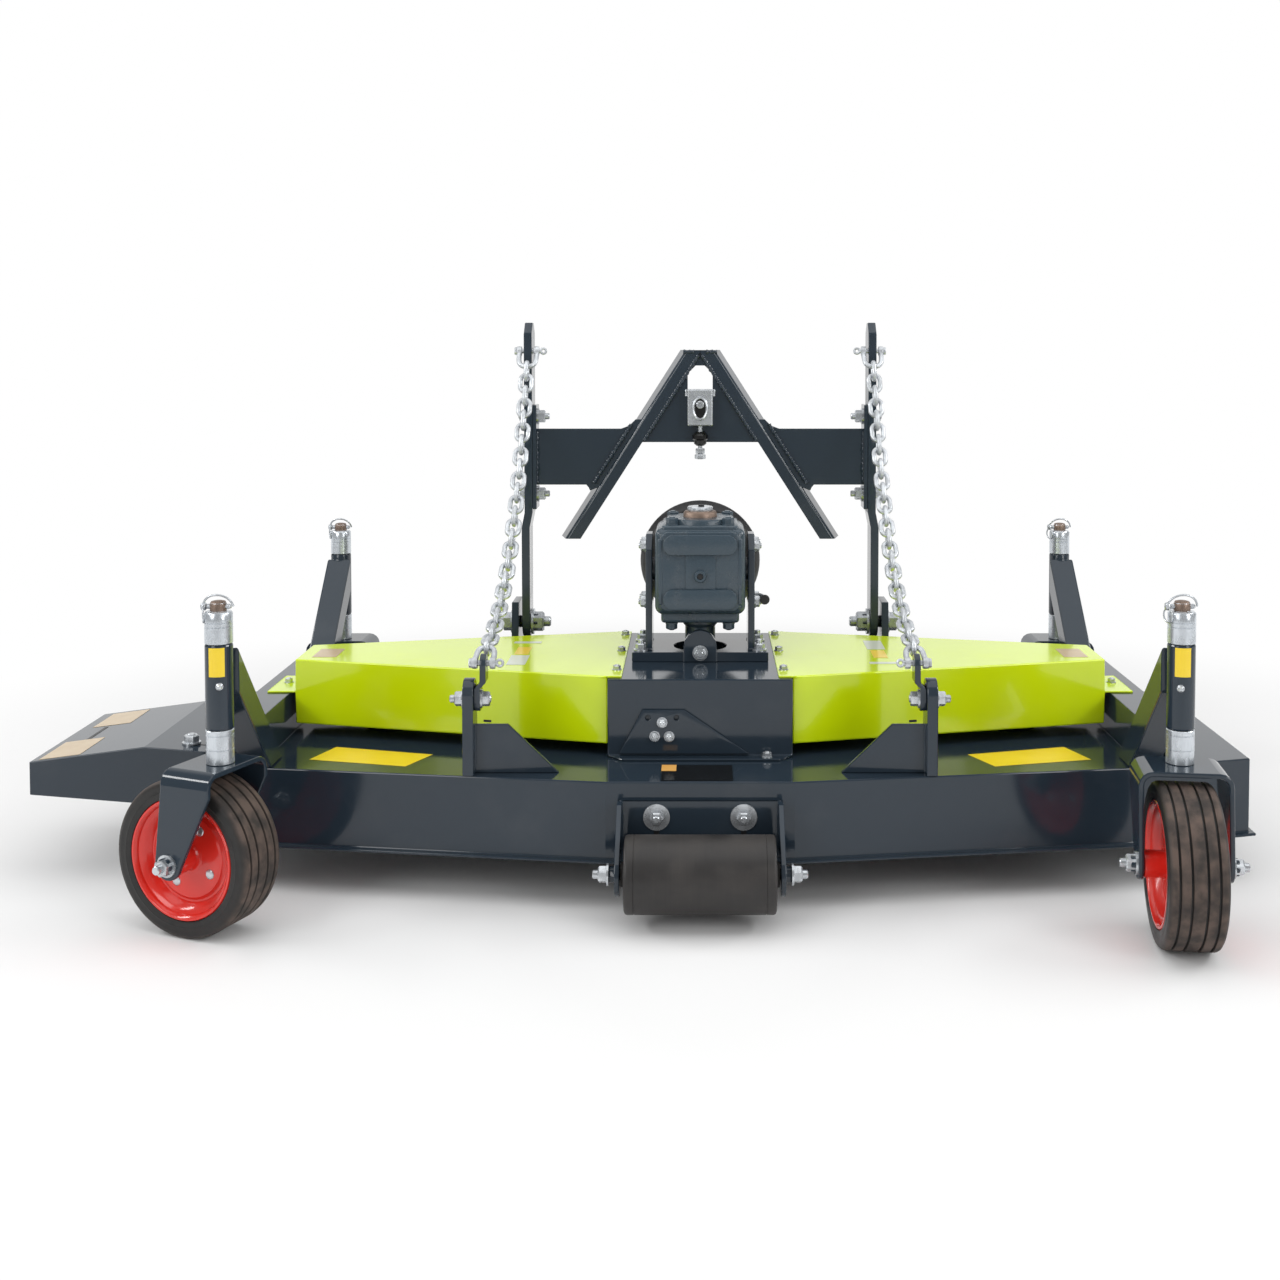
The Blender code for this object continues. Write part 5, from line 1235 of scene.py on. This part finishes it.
def stand_welds(side):
    """Lines across and along the foot of the gearbox stand, on one side."""
    lines = [[at(side * 0.0995, y, 0.363), at(side * 0.087, y, 0.363)] for y in (-0.0539, 0.0343)]
    return lines + [[at(side * 0.1, -0.052, 0.3628), at(side * 0.1, 0.032, 0.3628)]]


def triangle_welds(side):
    """Lines on the coupling triangle: inside its legs along the web, and down the cross plates' ends."""
    lines = [[at(side * leg_x(height, inward), 0.2345, height) for height in heights]
             for inward, heights in ((0.043, (0.897, 0.87, 0.82, 0.77, 0.726)),
                                     (-0.003, (0.758, 0.746, 0.71, 0.67, 0.64)))]
    end = [at(side * 0.3285, 0.2365, height) for height in (0.744, 0.7, 0.641)]
    apex = [at(side * x, 0.235, 0.9035) for x in (0.012, 0.034)]
    return lines + [end, apex]


def welds():
    for body, lines_of, radius in (("deck", stand_welds, 0.003), ("coupling_frame", triangle_welds, 0.004)):
        curve = curve_of("POLY", *[line for _, side in SIDES for line in lines_of(side)])
        bead = WELD.grow(curve, PAINT, Radius=radius, Step=0.003, Ripple=0.22)
        finished(f"weld_beads_{body}", bead, PAINT, body, 60)


welds()


# Floor, lights and world

WHITE_LIGHT = (1.0, 1.0, 1.0, 1.0)


def studio_floor():
    made = Finish("studio_floor", (0.8, 0.8, 0.8), Roughness=0.85)
    spot = made.node("ShaderNodeTexCoord", output="Object")
    far = made.between(made.node("ShaderNodeVectorMath", {0: spot}, "Value", operation="LENGTH"), 1.15, 2.3)
    depth = made.node("ShaderNodeSeparateXYZ", {"Vector": spot}, "Y")
    behind = made.ray("Glossy") * made.between(depth, 0.2, 1.6)
    share = far * made.ray("Camera").or_more(behind)
    glow = made.node("ShaderNodeEmission", {"Color": WHITE_LIGHT})
    blend = made.node("ShaderNodeMixShader", {0: share, 1: Wire(made, made.shader.outputs[0]), 2: glow})
    made.tree.links.new(blend.socket, made.tree.nodes["Material Output"].inputs[0])
    bm = bmesh.new()
    bmesh.ops.create_circle(bm, cap_ends=True, segments=64, radius=30.0)
    mesh = mesh_of(bm)
    mesh.materials.append(made.material)
    floor = bpy.data.objects.new("floor", mesh)
    floor.location = at(0, 0, 0)
    bpy.context.scene.collection.objects.link(floor)


def area_light(name, place, target, size, watts):
    data = bpy.data.lights.new(name, "AREA")
    data.shape = "RECTANGLE"
    data.size, data.size_y = size
    data.energy = watts
    lamp = bpy.data.objects.new(name, data)
    lamp.location = place
    lamp.rotation_euler = (target - place).to_track_quat("-Z", "Y").to_euler()
    bpy.context.scene.collection.objects.link(lamp)


def studio_world():
    """White for the camera and brighter behind for reflections, with an even dim light on the piece."""
    world = bpy.data.worlds.new("studio")
    bpy.context.scene.world = world
    world.use_nodes = True
    made = Tree(world.node_tree)
    back = made.tree.nodes["Background"]
    back.inputs["Color"].default_value = WHITE_LIGHT
    way = made.node("ShaderNodeTexCoord", output="Generated")
    depth = made.node("ShaderNodeSeparateXYZ", {0: way}, "Y")
    backdrop = made.node("ShaderNodeMapRange", {"Value": depth, "From Min": 0.35, "From Max": 0.85,
                                                "To Min": 0.3, "To Max": 1.0},
                         interpolation_type="SMOOTHSTEP")
    seen = made.ray("Camera").or_more(made.ray("Glossy"))
    direct = made.ray("Camera").or_more(backdrop)
    strength = made.node("ShaderNodeMix", {"Factor": seen, "A": 0.45, "B": direct}, "Result")
    made.tree.links.new(strength.socket, back.inputs["Strength"])


studio_floor()
studio_world()
MIDDLE = at(0, 0, 0.35)
area_light("roof", at(0, -0.4, 3.2), MIDDLE, (5.0, 3.5), 60)
area_light("front_left", at(-2.6, -3.2, 2.0), MIDDLE, (1.6, 2.0), 38)
area_light("front_right", at(2.8, -3.0, 1.8), MIDDLE, (1.4, 2.0), 36)
for side_name, side in SIDES:
    area_light(f"side_{side_name}", at(side * 3.4, -0.3, 2.35), at(0, 0, 0.8), (2.6, 0.42), 45)

bpy.context.scene.view_settings.view_transform = "Standard"
